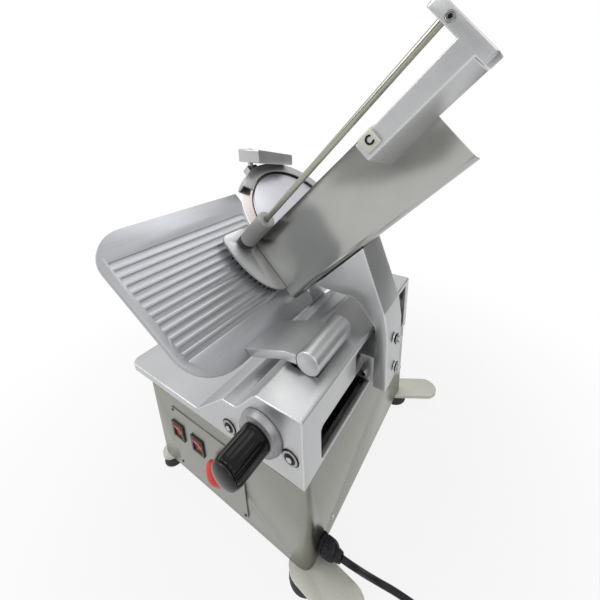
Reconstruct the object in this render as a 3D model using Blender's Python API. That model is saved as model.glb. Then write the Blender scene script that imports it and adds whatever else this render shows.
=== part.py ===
"""Automatic gravity-feed meat slicer: a stainless base, a cast top, a leaning blade and a sliding tray."""
import math

import bmesh
import bpy
from mathutils import Matrix, Vector

for old in list(bpy.data.objects):
    bpy.data.objects.remove(old, do_unlink=True)

# Driving sizes in metres. X runs to the tray side, Y to the back and Z up.
# The first layout point is the front right lower corner of the base box. Heights of the
# cast top and of all that it carries are measured from the top of the base box.
BASE_WIDTH = 0.304
BASE_DEPTH = 0.352
BASE_HEIGHT = 0.1537
BASE_CORNER = 0.014
SHEET = 0.0015
GAP = 0.0003
OVERRUN = 0.004
FIT = 0.0005

# Cast top: a low slice deck on the left, a ramp and a raised housing on the right.
CAST_WALL = 0.008
DECK_LEFT_TOP = 0.0123
DECK_LEFT_END = -0.183
SHELF_TOP = 0.0633
SHELF_START = -0.125
SHELF_END = -0.101
DECK_TOP = 0.1023
DECK_START = -0.066
DECK_CORNER = 0.016
SLOT_FRONT = 0.037
SLOT_REAR_WALL = 0.012
SLOT_FLOOR = 0.0053
SLOT_ROOF = 0.0573
SLOT_TALL_FROM = 0.127
SLOT_TALL_ROOF = 0.0923
SLOT_ROUND = 0.006
SLOT_PLAY = 0.001
DECK_OVERHANG = 0.050
DECK_EDGE = 0.003
CAST_ROUND = 0.008
SEAT_DEPTH = 0.005
PLUG_RADIUS = 0.0105
PLUG_PROUD = 0.0015
PLUG_SOCKET = 0.0052
PLUG_SOCKET_DEPTH = 0.003
BLIND = 0.004

# Food frame: origin on the old plane of the gauge plate, tilted so that its X runs up the tray.
TILT = math.radians(45)
FOOD_X = -0.155
FOOD_Z = 0.1193

# Feet and side stabilisers.
FOOT_RADIUS = 0.024
LEFT_FOOT_RADIUS = 0.0165
FOOT_HEIGHT = 0.020
FOOT_EDGE = 0.003
FOOT_INSET = 0.010
STEM_RADIUS = 0.006
STEM_HEIGHT = 0.008
STABILISER_WIDTH = 0.046
STABILISER_LONG = 0.062
STABILISER_SHORT = 0.003
SPACER_WIDTH = 0.028
SPLAY_FRONT = math.radians(6)
SPLAY_REAR = math.radians(30)
SPLAY_LEFT = math.radians(80)
FLOOR_PLATE = 0.002
TOP_FLANGE = 0.016

# Control panel on the front face.
PANEL_LEFT = -0.249
PANEL_RIGHT = -0.100
PANEL_LOW = 0.014
PANEL_TOP = 0.133
PANEL_THICK = 0.0015
PANEL_ROUND = 0.003
SWITCH_Z = 0.091
SWITCH_XS = (-0.237, -0.192)
BEZEL_WIDTH = 0.027
BEZEL_HEIGHT = 0.031
BEZEL_THICK = 0.0022
SWITCH_BODY_WIDTH = 0.022
SWITCH_BODY_HEIGHT = 0.027
SWITCH_BODY_DEPTH = 0.026
ROCKER_WIDTH = 0.0165
ROCKER_HEIGHT = 0.0215
ROCKER_TILT = math.radians(9)
ROCKER_DEPTH = 0.0115
ROCKER_PLAY = 0.0008
ROCKER_AXIS = 0.0045
ROCKER_DIP = 0.0015
ROCKER_BACK = 0.005
ROCKER_PIN = 0.0012
ROCKER_PIN_REACH = 0.0014
ESTOP_X = -0.141
ESTOP_Z = 0.085
ESTOP_RADIUS = 0.020
ESTOP_NECK = 0.0095
ESTOP_COLLAR = 0.0145
ESTOP_COLLAR_THICK = 0.006
ESTOP_TRAVEL = 0.005
ESTOP_HEAD = 0.012
ESTOP_RIM = 0.005
ESTOP_THREAD = 0.0112
ESTOP_NUT = 0.004
ESTOP_BODY = 0.026
ESTOP_END = 0.003

# Thickness knob, its dial and the spiral cam behind it.
KNOB_X = -0.058
KNOB_Z = 0.0533
DIAL_RADIUS = 0.031
DIAL_THICK = 0.009
KNOB_RADIUS = 0.0205
KNOB_LENGTH = 0.047
KNOB_FLUTES = 12
KNOB_FLUTE_DEPTH = 0.0014
KNOB_FLUTE = 0.003
KNOB_SKIRT = 0.006
KNOB_FRONT_WALL = 0.004
DIAL_RIM = 0.003
DIAL_SLOPE = 0.003
CAP_EDGE = 0.0015
CAP_RADIUS = 0.018
CAP_RISE = 0.0065
KNOB_SHAFT = 0.006
CAM_FRONT = 0.022
CAM_THICK = 0.008
CAM_START_RADIUS = 0.009
CAM_TURN = math.radians(300)
CAM_DROP = math.radians(25)
GAUGE_TRAVEL = 0.017
PIN_RADIUS = 0.004
CAM_PLAY = 0.0008

# Gauge plate with its ribs, in the food frame: X is its normal and Z runs up its slope.
PLATE_FACE = -0.004
PLATE_THICK = 0.009
PLATE_LOW = -0.045
PLATE_TOP = 0.200
PLATE_FRONT = -0.047
PLATE_FRONT_LOW = -0.020
PLATE_BACK_GAP = 0.111
PLATE_CORNER = 0.046
PLATE_LOW_CORNER = 0.066
PLATE_END_ROUND = 0.012
RIB_COUNT = 13
RIB_FIRST = 0.004
RIB_PITCH = 0.0125
RIB_TOP = 0.0045
RIB_DEPTH = 0.0016
RIB_MARGIN = 0.010
RIB_END_SHARE = 0.6
BLADE_CLEARANCE = 0.004

# Gauge bracket, a tongue from the plate to a round boss that slides on the raised deck.
BOSS_X = -0.030
BOSS_RADIUS = 0.0165
BOSS_FRONT = 0.055
BOSS_BACK = 0.140
BOSS_STEP = 0.001
BOSS_CLEARANCE = 0.0006
BRACKET_BACK = 0.130
TONGUE_TOP = 0.1213
TONGUE_THICK = 0.013
TONGUE_REACH = 0.015
POST_HALF = 0.010
POST_FRONT = 0.060
POST_BACK = 0.084
GAUGE_ROD_RADIUS = 0.007
GAUGE_ROD_Z = 0.0763
GAUGE_ROD_Y = 0.072
GAUGE_ROD_LEFT = -0.080
GAUGE_BLOCK_LEFT = -0.045
GAUGE_BLOCK_RIGHT = -0.012
GAUGE_BLOCK_LOW = 0.0623
GAUGE_BLOCK_TOP = 0.0918
GAUGE_BLOCK_FRONT = 0.034
GAUGE_BLOCK_BACK = 0.092
FOLLOWER_THICK = 0.008
FOLLOWER_EDGE = 0.0055

# Blade and its guard, in the food frame.
BLADE_RADIUS = 0.125
BLADE_FROM_REAR = 0.021
BLADE_Z = 0.114
BLADE_PLANE = -0.0044
BLADE_THICK = 0.002
BLADE_BEVEL = 0.014
BLADE_EDGE = 0.0003
RING_LAP = 0.017
RING_REACH = 0.006
RING_WALL = 0.0035
RING_TOP = 0.006
RING_UNDER = 0.003
BACKING_INNER = 0.030
BACKING_FRONT = -0.014
BACKING_THICK = 0.0027
RING_FROM = math.radians(134)
RING_SWEEP = math.radians(258)
COVER_THICK = 0.004
COVER_TOP = 0.001
COVER_GAP = 0.003
COVER_LIP = 0.002
TIE_RADIUS = 0.003
RING_ROUND = 0.0015

# Blade head behind the blade, with the motor and belt inside it.
HEAD_FACE = -0.017
HEAD_LOW = 0.026
HEAD_HIGH = 0.160
HEAD_LEFT = -0.296
HEAD_SHOULDER_Z = 0.0623
HEAD_BACK_SETBACK = -0.140
HEAD_BACK_RISE = 0.110
HEAD_TOP_SETBACK = -0.100
HEAD_HALF = 0.041
HEAD_COVER = 0.003
HEAD_WALL = 0.007
HUB_POCKET = 0.0045
HUB_CLEARANCE = 0.001
SHAFT_END = -0.066
TIE_END = -0.068
SHAFT_RADIUS = 0.006
BEARING_RADIUS = 0.016
BEARING_LENGTH = 0.012
HUB_LENGTH = 0.0135
HUB_RADIUS = 0.020
PULLEY_FRONT = -0.038
PULLEY_WIDTH = 0.012
BLADE_PULLEY = 0.024
MOTOR_PULLEY = 0.009
MOTOR_RISE = 0.052
MOTOR_RADIUS = 0.032
MOTOR_FRONT = -0.0600
MOTOR_LENGTH = 0.068
MOTOR_PLATE = 0.007
MOTOR_PLATE_REACH = 0.030
PULLEY_FLANGE = 0.0015
BELT_THICK = 0.002

# Sharpener on top of the guard.
SHARP_LEFT_REACH = 0.015
SHARP_LENGTH = 0.055
SHARP_FRONT_REACH = 0.017
SHARP_DEPTH = 0.110
SHARP_LIFT = 0.0138
SHARP_HEIGHT = 0.027
SHARP_TOP_FALL = 0.024
SHARP_LOW_FALL = 0.020
SHARP_POST_SHIFT = 0.0038
SHARP_POST_INSET = 0.031
SHARP_POST_RADIUS = 0.0055
STONE_RADIUS = 0.0065
SHARP_ROUND = 0.003
SHARP_WALL = 0.005
SHARP_POST_FOOT = 0.020
SHARP_POST_PROUD = 0.002
SADDLE_THICK = 0.0045
SADDLE_DEEP = 0.014
SADDLE_HALF = 0.014
STONE_ROOM = 0.002
STONE_AXLE = 0.002

# Carriage: guide rods inside the cast top, a slide block, the arm and the tray.
ROD_RADIUS = 0.009
ROD_X = -0.018
ROD_Z = 0.0403
AUX_ROD_RADIUS = 0.006
AUX_ROD_X = -0.116
AUX_ROD_Z = 0.0223
CARRIAGE_Y = 0.170
BLOCK_FRONT = 0.175
BLOCK_BACK = 0.229
BLOCK_LEFT = -0.127
BLOCK_LOW = 0.0093
BLOCK_MID = 0.0343
BLOCK_TOP = 0.0543
BLOCK_STEP = -0.040
LUG_WALL = 0.004
ARM_FRONT = 0.172
ARM_BACK = 0.232
ARM_IN = 0.007
ARM_OUT = 0.028
ARM_FOOT = 0.0033
ARM_BOLT_RADIUS = 0.0075
ARM_BOLT_HEAD = 0.005
ARM_BOLT_PROUD = 0.003
ARM_ROUND = 0.003
ARM_SMOOTH = 0.020
ARM_TAPER = 0.002
ARM_SHOULDER_Z = 0.1363
ARM_ELBOW_X = -0.008
ARM_ELBOW_Z = 0.2083
ARM_PAD_HIGH = 0.175
ARM_PAD_LOW = 0.064
ARM_TIP_X = -0.076
ARM_CROWN_X = -0.024
ARM_CROWN_Z = 0.1473
ARM_CLEARANCE = 0.006
ARM_BOLTS = ((0.200, 0.0823), (0.206, 0.0263))

# Tray sheet, in the food frame.
TRAY_LOW_END = 0.008
TRAY_HIGH_END = 0.353
TRAY_FLOOR = -0.020
TRAY_WALL_TOP = 0.092
TRAY_SHEET = 0.002
TRAY_DEPTH = 0.205
TRAY_BEND = 0.008
TRAY_TIP = 0.045
TRAY_END_TAPER = 0.038
WALL_DROP = 0.008
WALL_SLOPE_FROM = 0.267

# Hand guard, pusher rod, corner bracket and pusher, in the food frame.
GUARD_NEAR = 0.0085
GUARD_THICK = 0.004
GUARD_REACH = 0.0485
GUARD_ROUND = 0.012
GUARD_LOW = 0.002
GUARD_TOP = 0.126
ROD_PATH_Y = 0.154
ROD_PATH_Z = 0.100
PUSH_ROD_RADIUS = 0.0045
BRACKET_FROM = 0.278
BRACKET_TO = 0.426
BRACKET_LEG = 0.015
BRACKET_LOW = 0.038
BRACKET_HIGH = 0.080
BRACKET_FACE_LOW = 0.050
BRACKET_FACE_HIGH = 0.072
BRACKET_REACH = 0.040
BRACKET_ROUND = 0.004
LEG_TOP = 0.113
SLEEVE_FROM = 0.016
SLEEVE_LENGTH = 0.068
SLEEVE_RADIUS = 0.014
SLEEVE_COLLAR = 0.008
PRESS_FROM = 0.034
PRESS_THICK = 0.006
PRESS_LOW = -0.006
PRESS_TOP = 0.078
PRESS_WIDTH = 0.178
PRESS_ARM = 0.012
PRESS_ARM_HEIGHT = 0.012
PRESS_GAP = 0.003
PRESS_ROUND = 0.012
ARM_OVER_WALL = 0.004
SPIKE_LENGTH = 0.010
SPIKE_RADIUS = 0.003
SPIKE_COLUMNS = 6
SPIKE_ROWS = 3

# Carriage belt drive in the base box.
DRIVE_X = -0.072
DRIVE_WIDTH = 0.010
DRIVE_Z = -0.0257
DRIVE_RADIUS = 0.014
DRIVE_BELT = 0.0016
DRIVE_FRONT_Y = 0.036
DRIVE_FROM_REAR = 0.034
CLAMP_FRONT = 0.181
CLAMP_BACK = 0.201
CLAMP_LOW = -0.0157
GEARBOX_LENGTH = 0.048
GEARBOX_WIDTH = 0.040
GEARBOX_CLEARANCE = 0.006
GEARBOX_HEIGHT = 0.052
DRIVE_MOTOR_RADIUS = 0.024
DRIVE_MOTOR_LENGTH = 0.075
DRIVE_MOTOR_SHIFT = 0.006
DRIVE_MOTOR_DROP = 0.006
DRIVE_SHAFT = 0.005
DRIVE_SHAFT_IN = 0.020
IDLER_PIN = 0.004
IDLER_POST = 0.007

# Mains lead: gland, free run, wound coil and plug.
GLAND_Y = 0.030
GLAND_Z = 0.018
GLAND_RADIUS = 0.0125
GLAND_NUT = 0.010
GLAND_LENGTH = 0.032
GLAND_THREAD = 0.0085
GLAND_RELIEF = 0.009
GLAND_LIP = 0.0015
CORD_DIAMETER = 0.008
COIL_SPACE = 0.0009
COIL_TAIL = 0.038
COIL_TURNS = 2.375
COIL_RADIUS = 0.047
COIL_X = 0.190
COIL_Y = 0.0
PLUG_LENGTH = 0.040
PLUG_WIDTH = 0.028
PLUG_ROUND = 0.008
PLUG_NECK_SHARE = 0.45
PLUG_WAIST_SHARE = 0.35
PIN_LENGTH = 0.018
PIN_SPACING = 0.0127
PIN_THICK = 0.0024
PIN_TALL = 0.0064

# Sizes that follow from the ones above.
FLOOR_Z = -STEM_HEIGHT - FOOT_HEIGHT
SLOT_BACK = BASE_DEPTH - SLOT_REAR_WALL
DRIVE_BACK_Y = BASE_DEPTH - DRIVE_FROM_REAR
BLADE_Y = BASE_DEPTH - BLADE_FROM_REAR
PLATE_BACK = BLADE_Y - PLATE_BACK_GAP
RING_INNER = BLADE_RADIUS - RING_LAP
RING_OUTER = BLADE_RADIUS + RING_REACH
HEAD_FRONT_Y = BLADE_Y - HEAD_HALF
HEAD_REAR_Y = BLADE_Y + HEAD_HALF
SHARP_POST_Y = BLADE_Y - SHARP_POST_INSET
SHARP_FRONT = SHARP_POST_Y - SHARP_FRONT_REACH

MATERIALS = {
    "stainless": ((0.36, 0.36, 0.33, 1), 1.0, 0.34),
    "cast": ((0.52, 0.53, 0.55, 1), 0.9, 0.42),
    "steel": ((0.50, 0.50, 0.50, 1), 1.0, 0.22),
    "black_plastic": ((0.02, 0.02, 0.023, 1), 0.0, 0.38),
    "grey_plastic": ((0.06, 0.065, 0.065, 1), 0.0, 0.35),
    "rubber": ((0.02, 0.02, 0.02, 1), 0.0, 0.7),
    "red_plastic": ((0.45, 0.04, 0.05, 1), 0.0, 0.3),
    "stop_red": ((0.72, 0.10, 0.09, 1), 0.0, 0.35),
    "dial_silver": ((0.62, 0.62, 0.65, 1), 0.8, 0.3),
    "bronze": ((0.50, 0.33, 0.14, 1), 1.0, 0.35),
    "motor_paint": ((0.10, 0.11, 0.13, 1), 0.2, 0.5),
    "stone": ((0.42, 0.40, 0.38, 1), 0.0, 0.9),
}


def material(name):
    found = bpy.data.materials.get(name)
    if found:
        return found
    color, metallic, roughness = MATERIALS[name]
    made = bpy.data.materials.new(name)
    made.use_nodes = True
    shader = made.node_tree.nodes["Principled BSDF"]
    shader.inputs["Base Color"].default_value = color
    shader.inputs["Metallic"].default_value = metallic
    shader.inputs["Roughness"].default_value = roughness
    return made


def empty(name, location, rotation_y=0.0, parent=None):
    made = bpy.data.objects.new(name, None)
    bpy.context.scene.collection.objects.link(made)
    made.location = location
    made.rotation_euler = (0, rotation_y, 0)
    made.parent = parent
    return made


machine = empty("machine", (0, 0, 0))
upper = empty("upper_frame", (0, 0, BASE_HEIGHT), parent=machine)
food = empty("food_frame", (FOOD_X, 0, FOOD_Z), -TILT, upper)


def add(name, bm, finish, parent=None, location=(0, 0, 0), hidden=False):
    """Closes a bmesh into a named object, smooth where its faces meet at a small angle."""
    bmesh.ops.recalc_face_normals(bm, faces=bm.faces)
    mesh = bpy.data.meshes.new(name)
    bm.to_mesh(mesh)
    bm.free()
    mesh.shade_smooth()
    mesh.set_sharp_from_angle(angle=math.radians(32))
    made = bpy.data.objects.new(name, mesh)
    bpy.context.scene.collection.objects.link(made)
    made.parent = parent or upper
    made.location = location
    if hidden:
        made.hide_render = True
        made.display_type = "WIRE"
    else:
        made.data.materials.append(material(finish))
    return made


def boolean(target, tool, operation="DIFFERENCE"):
    step = target.modifiers.new(operation.lower(), "BOOLEAN")
    step.object = tool
    step.operation = operation
    step.solver = "EXACT"


def prism(points, axis, low, high, bm=None):
    """Extrudes an outline along X, Y or Z. Its points are the other two coordinates in X, Y, Z order."""
    bm = bm or bmesh.new()
    corners = []
    for a, b in points:
        place = {"X": (low, a, b), "Y": (a, low, b), "Z": (a, b, low)}[axis]
        corners.append(bm.verts.new(place))
    face = bm.faces.new(corners)
    moved = bmesh.ops.extrude_face_region(bm, geom=[face])["geom"]
    step = {"X": (high - low, 0, 0), "Y": (0, high - low, 0), "Z": (0, 0, high - low)}[axis]
    bmesh.ops.translate(bm, verts=[v for v in moved if isinstance(v, bmesh.types.BMVert)], vec=step)
    return bm


def block(x0, x1, y0, y1, z0, z1, bm=None):
    return prism([(x0, y0), (x1, y0), (x1, y1), (x0, y1)], "Z", z0, z1, bm)


def arc(centre, radius, start, stop, steps):
    """Points on a circle, with both ends, at angles in degrees."""
    out = []
    for i in range(steps + 1):
        angle = math.radians(start + (stop - start) * i / steps)
        out.append((centre[0] + radius * math.cos(angle), centre[1] + radius * math.sin(angle)))
    return out


def rounded(corners, steps=4):
    """An outline from (x, y, radius) corners, each rounded with an arc."""
    out = []
    count = len(corners)
    for i, (x, y, radius) in enumerate(corners):
        here = Vector((x, y))
        before = (Vector(corners[i - 1][:2]) - here).normalized()
        after = (Vector(corners[(i + 1) % count][:2]) - here).normalized()
        if radius <= 0:
            out.append((x, y))
            continue
        half = before.angle(after) / 2
        reach = radius / math.tan(half)
        centre = here + (before + after).normalized() * (radius / math.sin(half))
        first = here + before * reach - centre
        turn = (here + after * reach - centre).angle_signed(first)
        for k in range(steps + 1):
            spun = Matrix.Rotation(turn * k / steps, 2) @ first
            out.append(tuple(centre + spun))
    return out


def rod(axis, centre, radius, low, high, sides=20, bm=None, top_radius=None):
    """A cylinder or cone along X, Y or Z. centre is the other two coordinates."""
    bm = bm or bmesh.new()
    length = high - low
    middle = (low + high) / 2
    place = {"X": (middle, *centre), "Y": (centre[0], middle, centre[1]), "Z": (*centre, middle)}[axis]
    turn = {"X": Matrix.Rotation(math.pi / 2, 4, "Y"), "Y": Matrix.Rotation(-math.pi / 2, 4, "X"),
            "Z": Matrix.Identity(4)}[axis]
    bmesh.ops.create_cone(bm, cap_ends=True, segments=sides, radius1=radius,
                          radius2=radius if top_radius is None else top_radius, depth=length,
                          matrix=Matrix.Translation(place) @ turn)
    return bm


def turned(profile, axis, centre, sides=48, sweep=2 * math.pi, start=0.0):
    """Spins a closed profile of (radius, height) points about an axis that runs along X, Y or Z."""
    bm = bmesh.new()
    ends = [bm.verts.new((radius, 0, height)) for radius, height in profile]
    full = abs(sweep - 2 * math.pi) < 1e-6
    if full:
        edges = [bm.edges.new((ends[i], ends[(i + 1) % len(ends)])) for i in range(len(ends))]
        geometry = ends + edges
    else:
        geometry = ends + [bm.faces.new(ends)]
        geometry += list(bm.edges)
    bmesh.ops.spin(bm, geom=geometry, cent=(0, 0, 0), axis=(0, 0, 1), angle=sweep, steps=sides,
                   use_merge=full, use_duplicate=False)
    bmesh.ops.remove_doubles(bm, verts=bm.verts, dist=1e-6)
    bmesh.ops.dissolve_degenerate(bm, edges=bm.edges, dist=1e-7)
    turn = {"X": Matrix.Rotation(math.pi / 2, 4, "Y"), "Y": Matrix.Rotation(-math.pi / 2, 4, "X"),
            "Z": Matrix.Identity(4)}[axis]
    spin = Matrix.Rotation(start, 4, "Z")
    bmesh.ops.transform(bm, matrix=Matrix.Translation(centre) @ turn @ spin, verts=bm.verts)
    return bm


def inset(points, distance):
    """Moves every side of an outline inwards by one distance."""
    turns = zip(points, points[1:] + points[:1])
    side = 1 if sum(a[0] * b[1] - b[0] * a[1] for a, b in turns) > 0 else -1
    out = []
    for before, here, after in zip(points[-1:] + points[:-1], points, points[1:] + points[:1]):
        along = (Vector(here) - Vector(before)).normalized()
        onward = (Vector(after) - Vector(here)).normalized()
        lean = Vector((-along.y - onward.y, along.x + onward.x)) * side
        out.append(tuple(Vector(here) + lean * (2 * distance / lean.length_squared)))
    return out


def band(outer, inner, axis, low, high):
    """A closed loop with the same number of outer and inner points, such as a belt."""
    bm = bmesh.new()
    rings = []
    for points, level in ((outer, low), (outer, high), (inner, high), (inner, low)):
        places = {"X": [(level, a, b) for a, b in points], "Y": [(a, level, b) for a, b in points]}[axis]
        rings.append([bm.verts.new(place) for place in places])
    count = len(outer)
    for ring, following in zip(rings, rings[1:] + rings[:1]):
        for i in range(count):
            k = (i + 1) % count
            bm.faces.new((ring[i], ring[k], following[k], following[i]))
    return bm


def cutter(name, bm, parent=None, location=(0, 0, 0)):
    return add(name, bm, None, parent, location, hidden=True)


def cut(target, name, bm, parent=None, location=(0, 0, 0)):
    boolean(target, cutter(name, bm, parent, location))


def join(target, name, bm, parent=None, location=(0, 0, 0)):
    boolean(target, cutter(name, bm, parent, location), "UNION")


def food_point(n, d):
    """Where a point of the food frame lies in the machine's X and Z."""
    return (FOOD_X + n * math.cos(TILT) - d * math.sin(TILT),
            FOOD_Z + n * math.sin(TILT) + d * math.cos(TILT))


def base_box():
    """The sheet box that everything stands on, with its floor plate."""
    outline = rounded([(-BASE_WIDTH, 0, BASE_CORNER), (0, 0, BASE_CORNER),
                       (0, BASE_DEPTH, BASE_CORNER), (-BASE_WIDTH, BASE_DEPTH, BASE_CORNER)])
    shell = add("base_shell", prism(outline, "Z", 0, BASE_HEIGHT), "stainless", machine)
    cut(shell, "base_hollow", prism(inset(outline, SHEET), "Z", -OVERRUN, BASE_HEIGHT - SHEET), machine)
    cut(shell, "base_mouth", block(TOP_FLANGE - BASE_WIDTH, -TOP_FLANGE, TOP_FLANGE, BASE_DEPTH - TOP_FLANGE,
                                   BASE_HEIGHT - SHEET - OVERRUN, BASE_HEIGHT + OVERRUN), machine)
    cut(shell, "gland_hole", rod("X", (GLAND_Y, GLAND_Z), GLAND_THREAD + FIT, -SHEET - OVERRUN, OVERRUN),
        machine)
    switch_holes(shell, "shell")
    add("base_floor", prism(inset(outline, SHEET + GAP), "Z", 0, FLOOR_PLATE), "stainless", machine)
    return shell


def switch_holes(target, label):
    """The openings that the switches and the stop button pass through."""
    for i, x in enumerate(SWITCH_XS):
        half = SWITCH_BODY_WIDTH / 2 + FIT
        tall = SWITCH_BODY_HEIGHT / 2 + FIT
        cut(target, f"{label}_switch_hole_{i}", block(x - half, x + half, -OVERRUN, OVERRUN, SWITCH_Z - tall,
                                                      SWITCH_Z + tall), machine)
    cut(target, f"{label}_stop_hole", rod("Y", (ESTOP_X, ESTOP_Z), ESTOP_THREAD + FIT, -OVERRUN, OVERRUN),
        machine)


def control_panel():
    back = -GAP
    outline = rounded([(PANEL_LEFT, PANEL_LOW, PANEL_ROUND), (PANEL_RIGHT, PANEL_LOW, PANEL_ROUND),
                       (PANEL_RIGHT, PANEL_TOP, PANEL_ROUND), (PANEL_LEFT, PANEL_TOP, PANEL_ROUND)], 3)
    panel = add("control_panel", prism(outline, "Y", back - PANEL_THICK, back), "stainless", machine)
    switch_holes(panel, "panel")


def feet():
    """Four rubber feet on stems: long flat stabilisers on the right, small spacers on the left."""
    low = -STEM_HEIGHT
    places = {
        "front_right": (-FOOT_INSET, FOOT_INSET, -SPLAY_FRONT, STABILISER_LONG),
        "rear_right": (-FOOT_INSET, BASE_DEPTH - FOOT_INSET, SPLAY_REAR, STABILISER_LONG),
        "front_left": (FOOT_INSET - BASE_WIDTH, FOOT_INSET, -SPLAY_LEFT, STABILISER_SHORT),
        "rear_left": (FOOT_INSET - BASE_WIDTH, BASE_DEPTH - FOOT_INSET, SPLAY_LEFT, STABILISER_SHORT),
    }
    for name, (x, y, angle, reach) in places.items():
        on_left = reach == STABILISER_SHORT
        radius = LEFT_FOOT_RADIUS if on_left else FOOT_RADIUS
        profile = [(0, FLOOR_Z), (radius - FOOT_EDGE, FLOOR_Z), (radius, FLOOR_Z + FOOT_EDGE),
                   (radius - FOOT_EDGE, low), (STEM_RADIUS, low), (STEM_RADIUS, -GAP), (0, -GAP)]
        add(f"foot_{name}", turned(profile, "Z", (0, 0, 0), 24), "rubber", machine, (x, y, 0))
        half = (SPACER_WIDTH if on_left else STABILISER_WIDTH) / 2
        outline = arc((0, 0), half, 90, 270, 12) + arc((reach, 0), half, -90, 90, 12)
        plate = prism(outline, "Z", low + GAP, -GAP)
        hole = rod("Z", (0, 0), STEM_RADIUS + GAP, low - OVERRUN, OVERRUN)
        arm = add(f"stabiliser_{name}", plate, "cast", machine, (x, y, 0))
        arm.rotation_euler.z = angle
        cut(arm, f"stem_hole_{name}", hole, machine, (x, y, 0))


def switches():
    """Two rockers in their bezels, and the mushroom stop button in its collar."""
    face = -PANEL_THICK - 2 * GAP
    for i, x in enumerate(SWITCH_XS):
        half = BEZEL_WIDTH / 2
        tall = BEZEL_HEIGHT / 2
        bezel = add(f"switch_bezel_{i + 1}", block(-half, half, face - BEZEL_THICK, face, -tall, tall),
                    "black_plastic", machine, (x, 0, SWITCH_Z))
        body_half = SWITCH_BODY_WIDTH / 2
        body_tall = SWITCH_BODY_HEIGHT / 2
        join(bezel, f"switch_body_{i}", block(-body_half, body_half, face - BEZEL_THICK / 2,
                                              SWITCH_BODY_DEPTH,
                                              -body_tall, body_tall), machine, (x, 0, SWITCH_Z))
        front = face - BEZEL_THICK
        pocket_half = ROCKER_WIDTH / 2 + ROCKER_PLAY
        pocket_tall = ROCKER_HEIGHT / 2 + ROCKER_PLAY
        cut(bezel, f"rocker_pocket_{i}", block(-pocket_half, pocket_half, front - OVERRUN,
                                               front + ROCKER_DEPTH,
                                               -pocket_tall, pocket_tall), machine, (x, 0, SWITCH_Z))
        pin_reach = pocket_half + ROCKER_PIN_REACH
        pin_y = front + ROCKER_AXIS
        cut(bezel, f"rocker_pin_hole_{i}", rod("X", (pin_y, 0), ROCKER_PIN + GAP, -pin_reach, pin_reach, 12),
            machine, (x, 0, SWITCH_Z))
        rocker = add(f"rocker_{i + 1}", rocker_body(), "red_plastic", machine, (x, pin_y, SWITCH_Z))
        pin = rod("X", (0, 0), ROCKER_PIN, GAP - pin_reach, pin_reach - GAP, 12)
        join(rocker, f"rocker_pin_{i}", pin, machine, (x, pin_y, SWITCH_Z))
    stop_button(face)


def rocker_body():
    """A shallow V seen from the side, tipped to its off position about the pin."""
    tall = ROCKER_HEIGHT / 2
    outline = [(-ROCKER_AXIS, -tall), (ROCKER_DIP - ROCKER_AXIS, 0), (-ROCKER_AXIS, tall),
               (ROCKER_BACK / 2, tall), (ROCKER_BACK, 0), (ROCKER_BACK / 2, -tall)]
    turn = Matrix.Rotation(ROCKER_TILT, 2)
    half = ROCKER_WIDTH / 2
    return prism([tuple(turn @ Vector(point)) for point in outline], "X", -half, half)


def stop_button(face):
    front = face - ESTOP_COLLAR_THICK
    nut = SHEET + GAP
    bore = ESTOP_NECK + GAP
    profile = [(bore, front), (ESTOP_COLLAR, front), (ESTOP_COLLAR, face), (ESTOP_THREAD, face),
               (ESTOP_THREAD, nut), (ESTOP_COLLAR, nut), (ESTOP_COLLAR, nut + ESTOP_NUT),
               (ESTOP_THREAD, nut + ESTOP_NUT), (ESTOP_THREAD, ESTOP_BODY), (0, ESTOP_BODY),
               (0, ESTOP_BODY - ESTOP_END), (bore, ESTOP_BODY - ESTOP_END)]
    add("stop_collar", turned(profile, "Y", (0, 0, 0), 24), "black_plastic", machine,
        (ESTOP_X, 0, ESTOP_Z))
    back = front - ESTOP_TRAVEL - GAP
    tip = ESTOP_BODY - ESTOP_END - ESTOP_TRAVEL - GAP
    head = [(0, tip), (ESTOP_NECK, tip), (ESTOP_NECK, back), (ESTOP_RADIUS, back)]
    head += [(ESTOP_RADIUS * math.cos(a), back - ESTOP_RIM - (ESTOP_HEAD - ESTOP_RIM) * math.sin(a))
             for a in (math.radians(15 * k) for k in range(6))]
    head += [(0, back - ESTOP_HEAD)]
    add("stop_button", turned(head, "Y", (0, 0, 0), 28), "stop_red", machine, (ESTOP_X, 0, ESTOP_Z))


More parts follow.
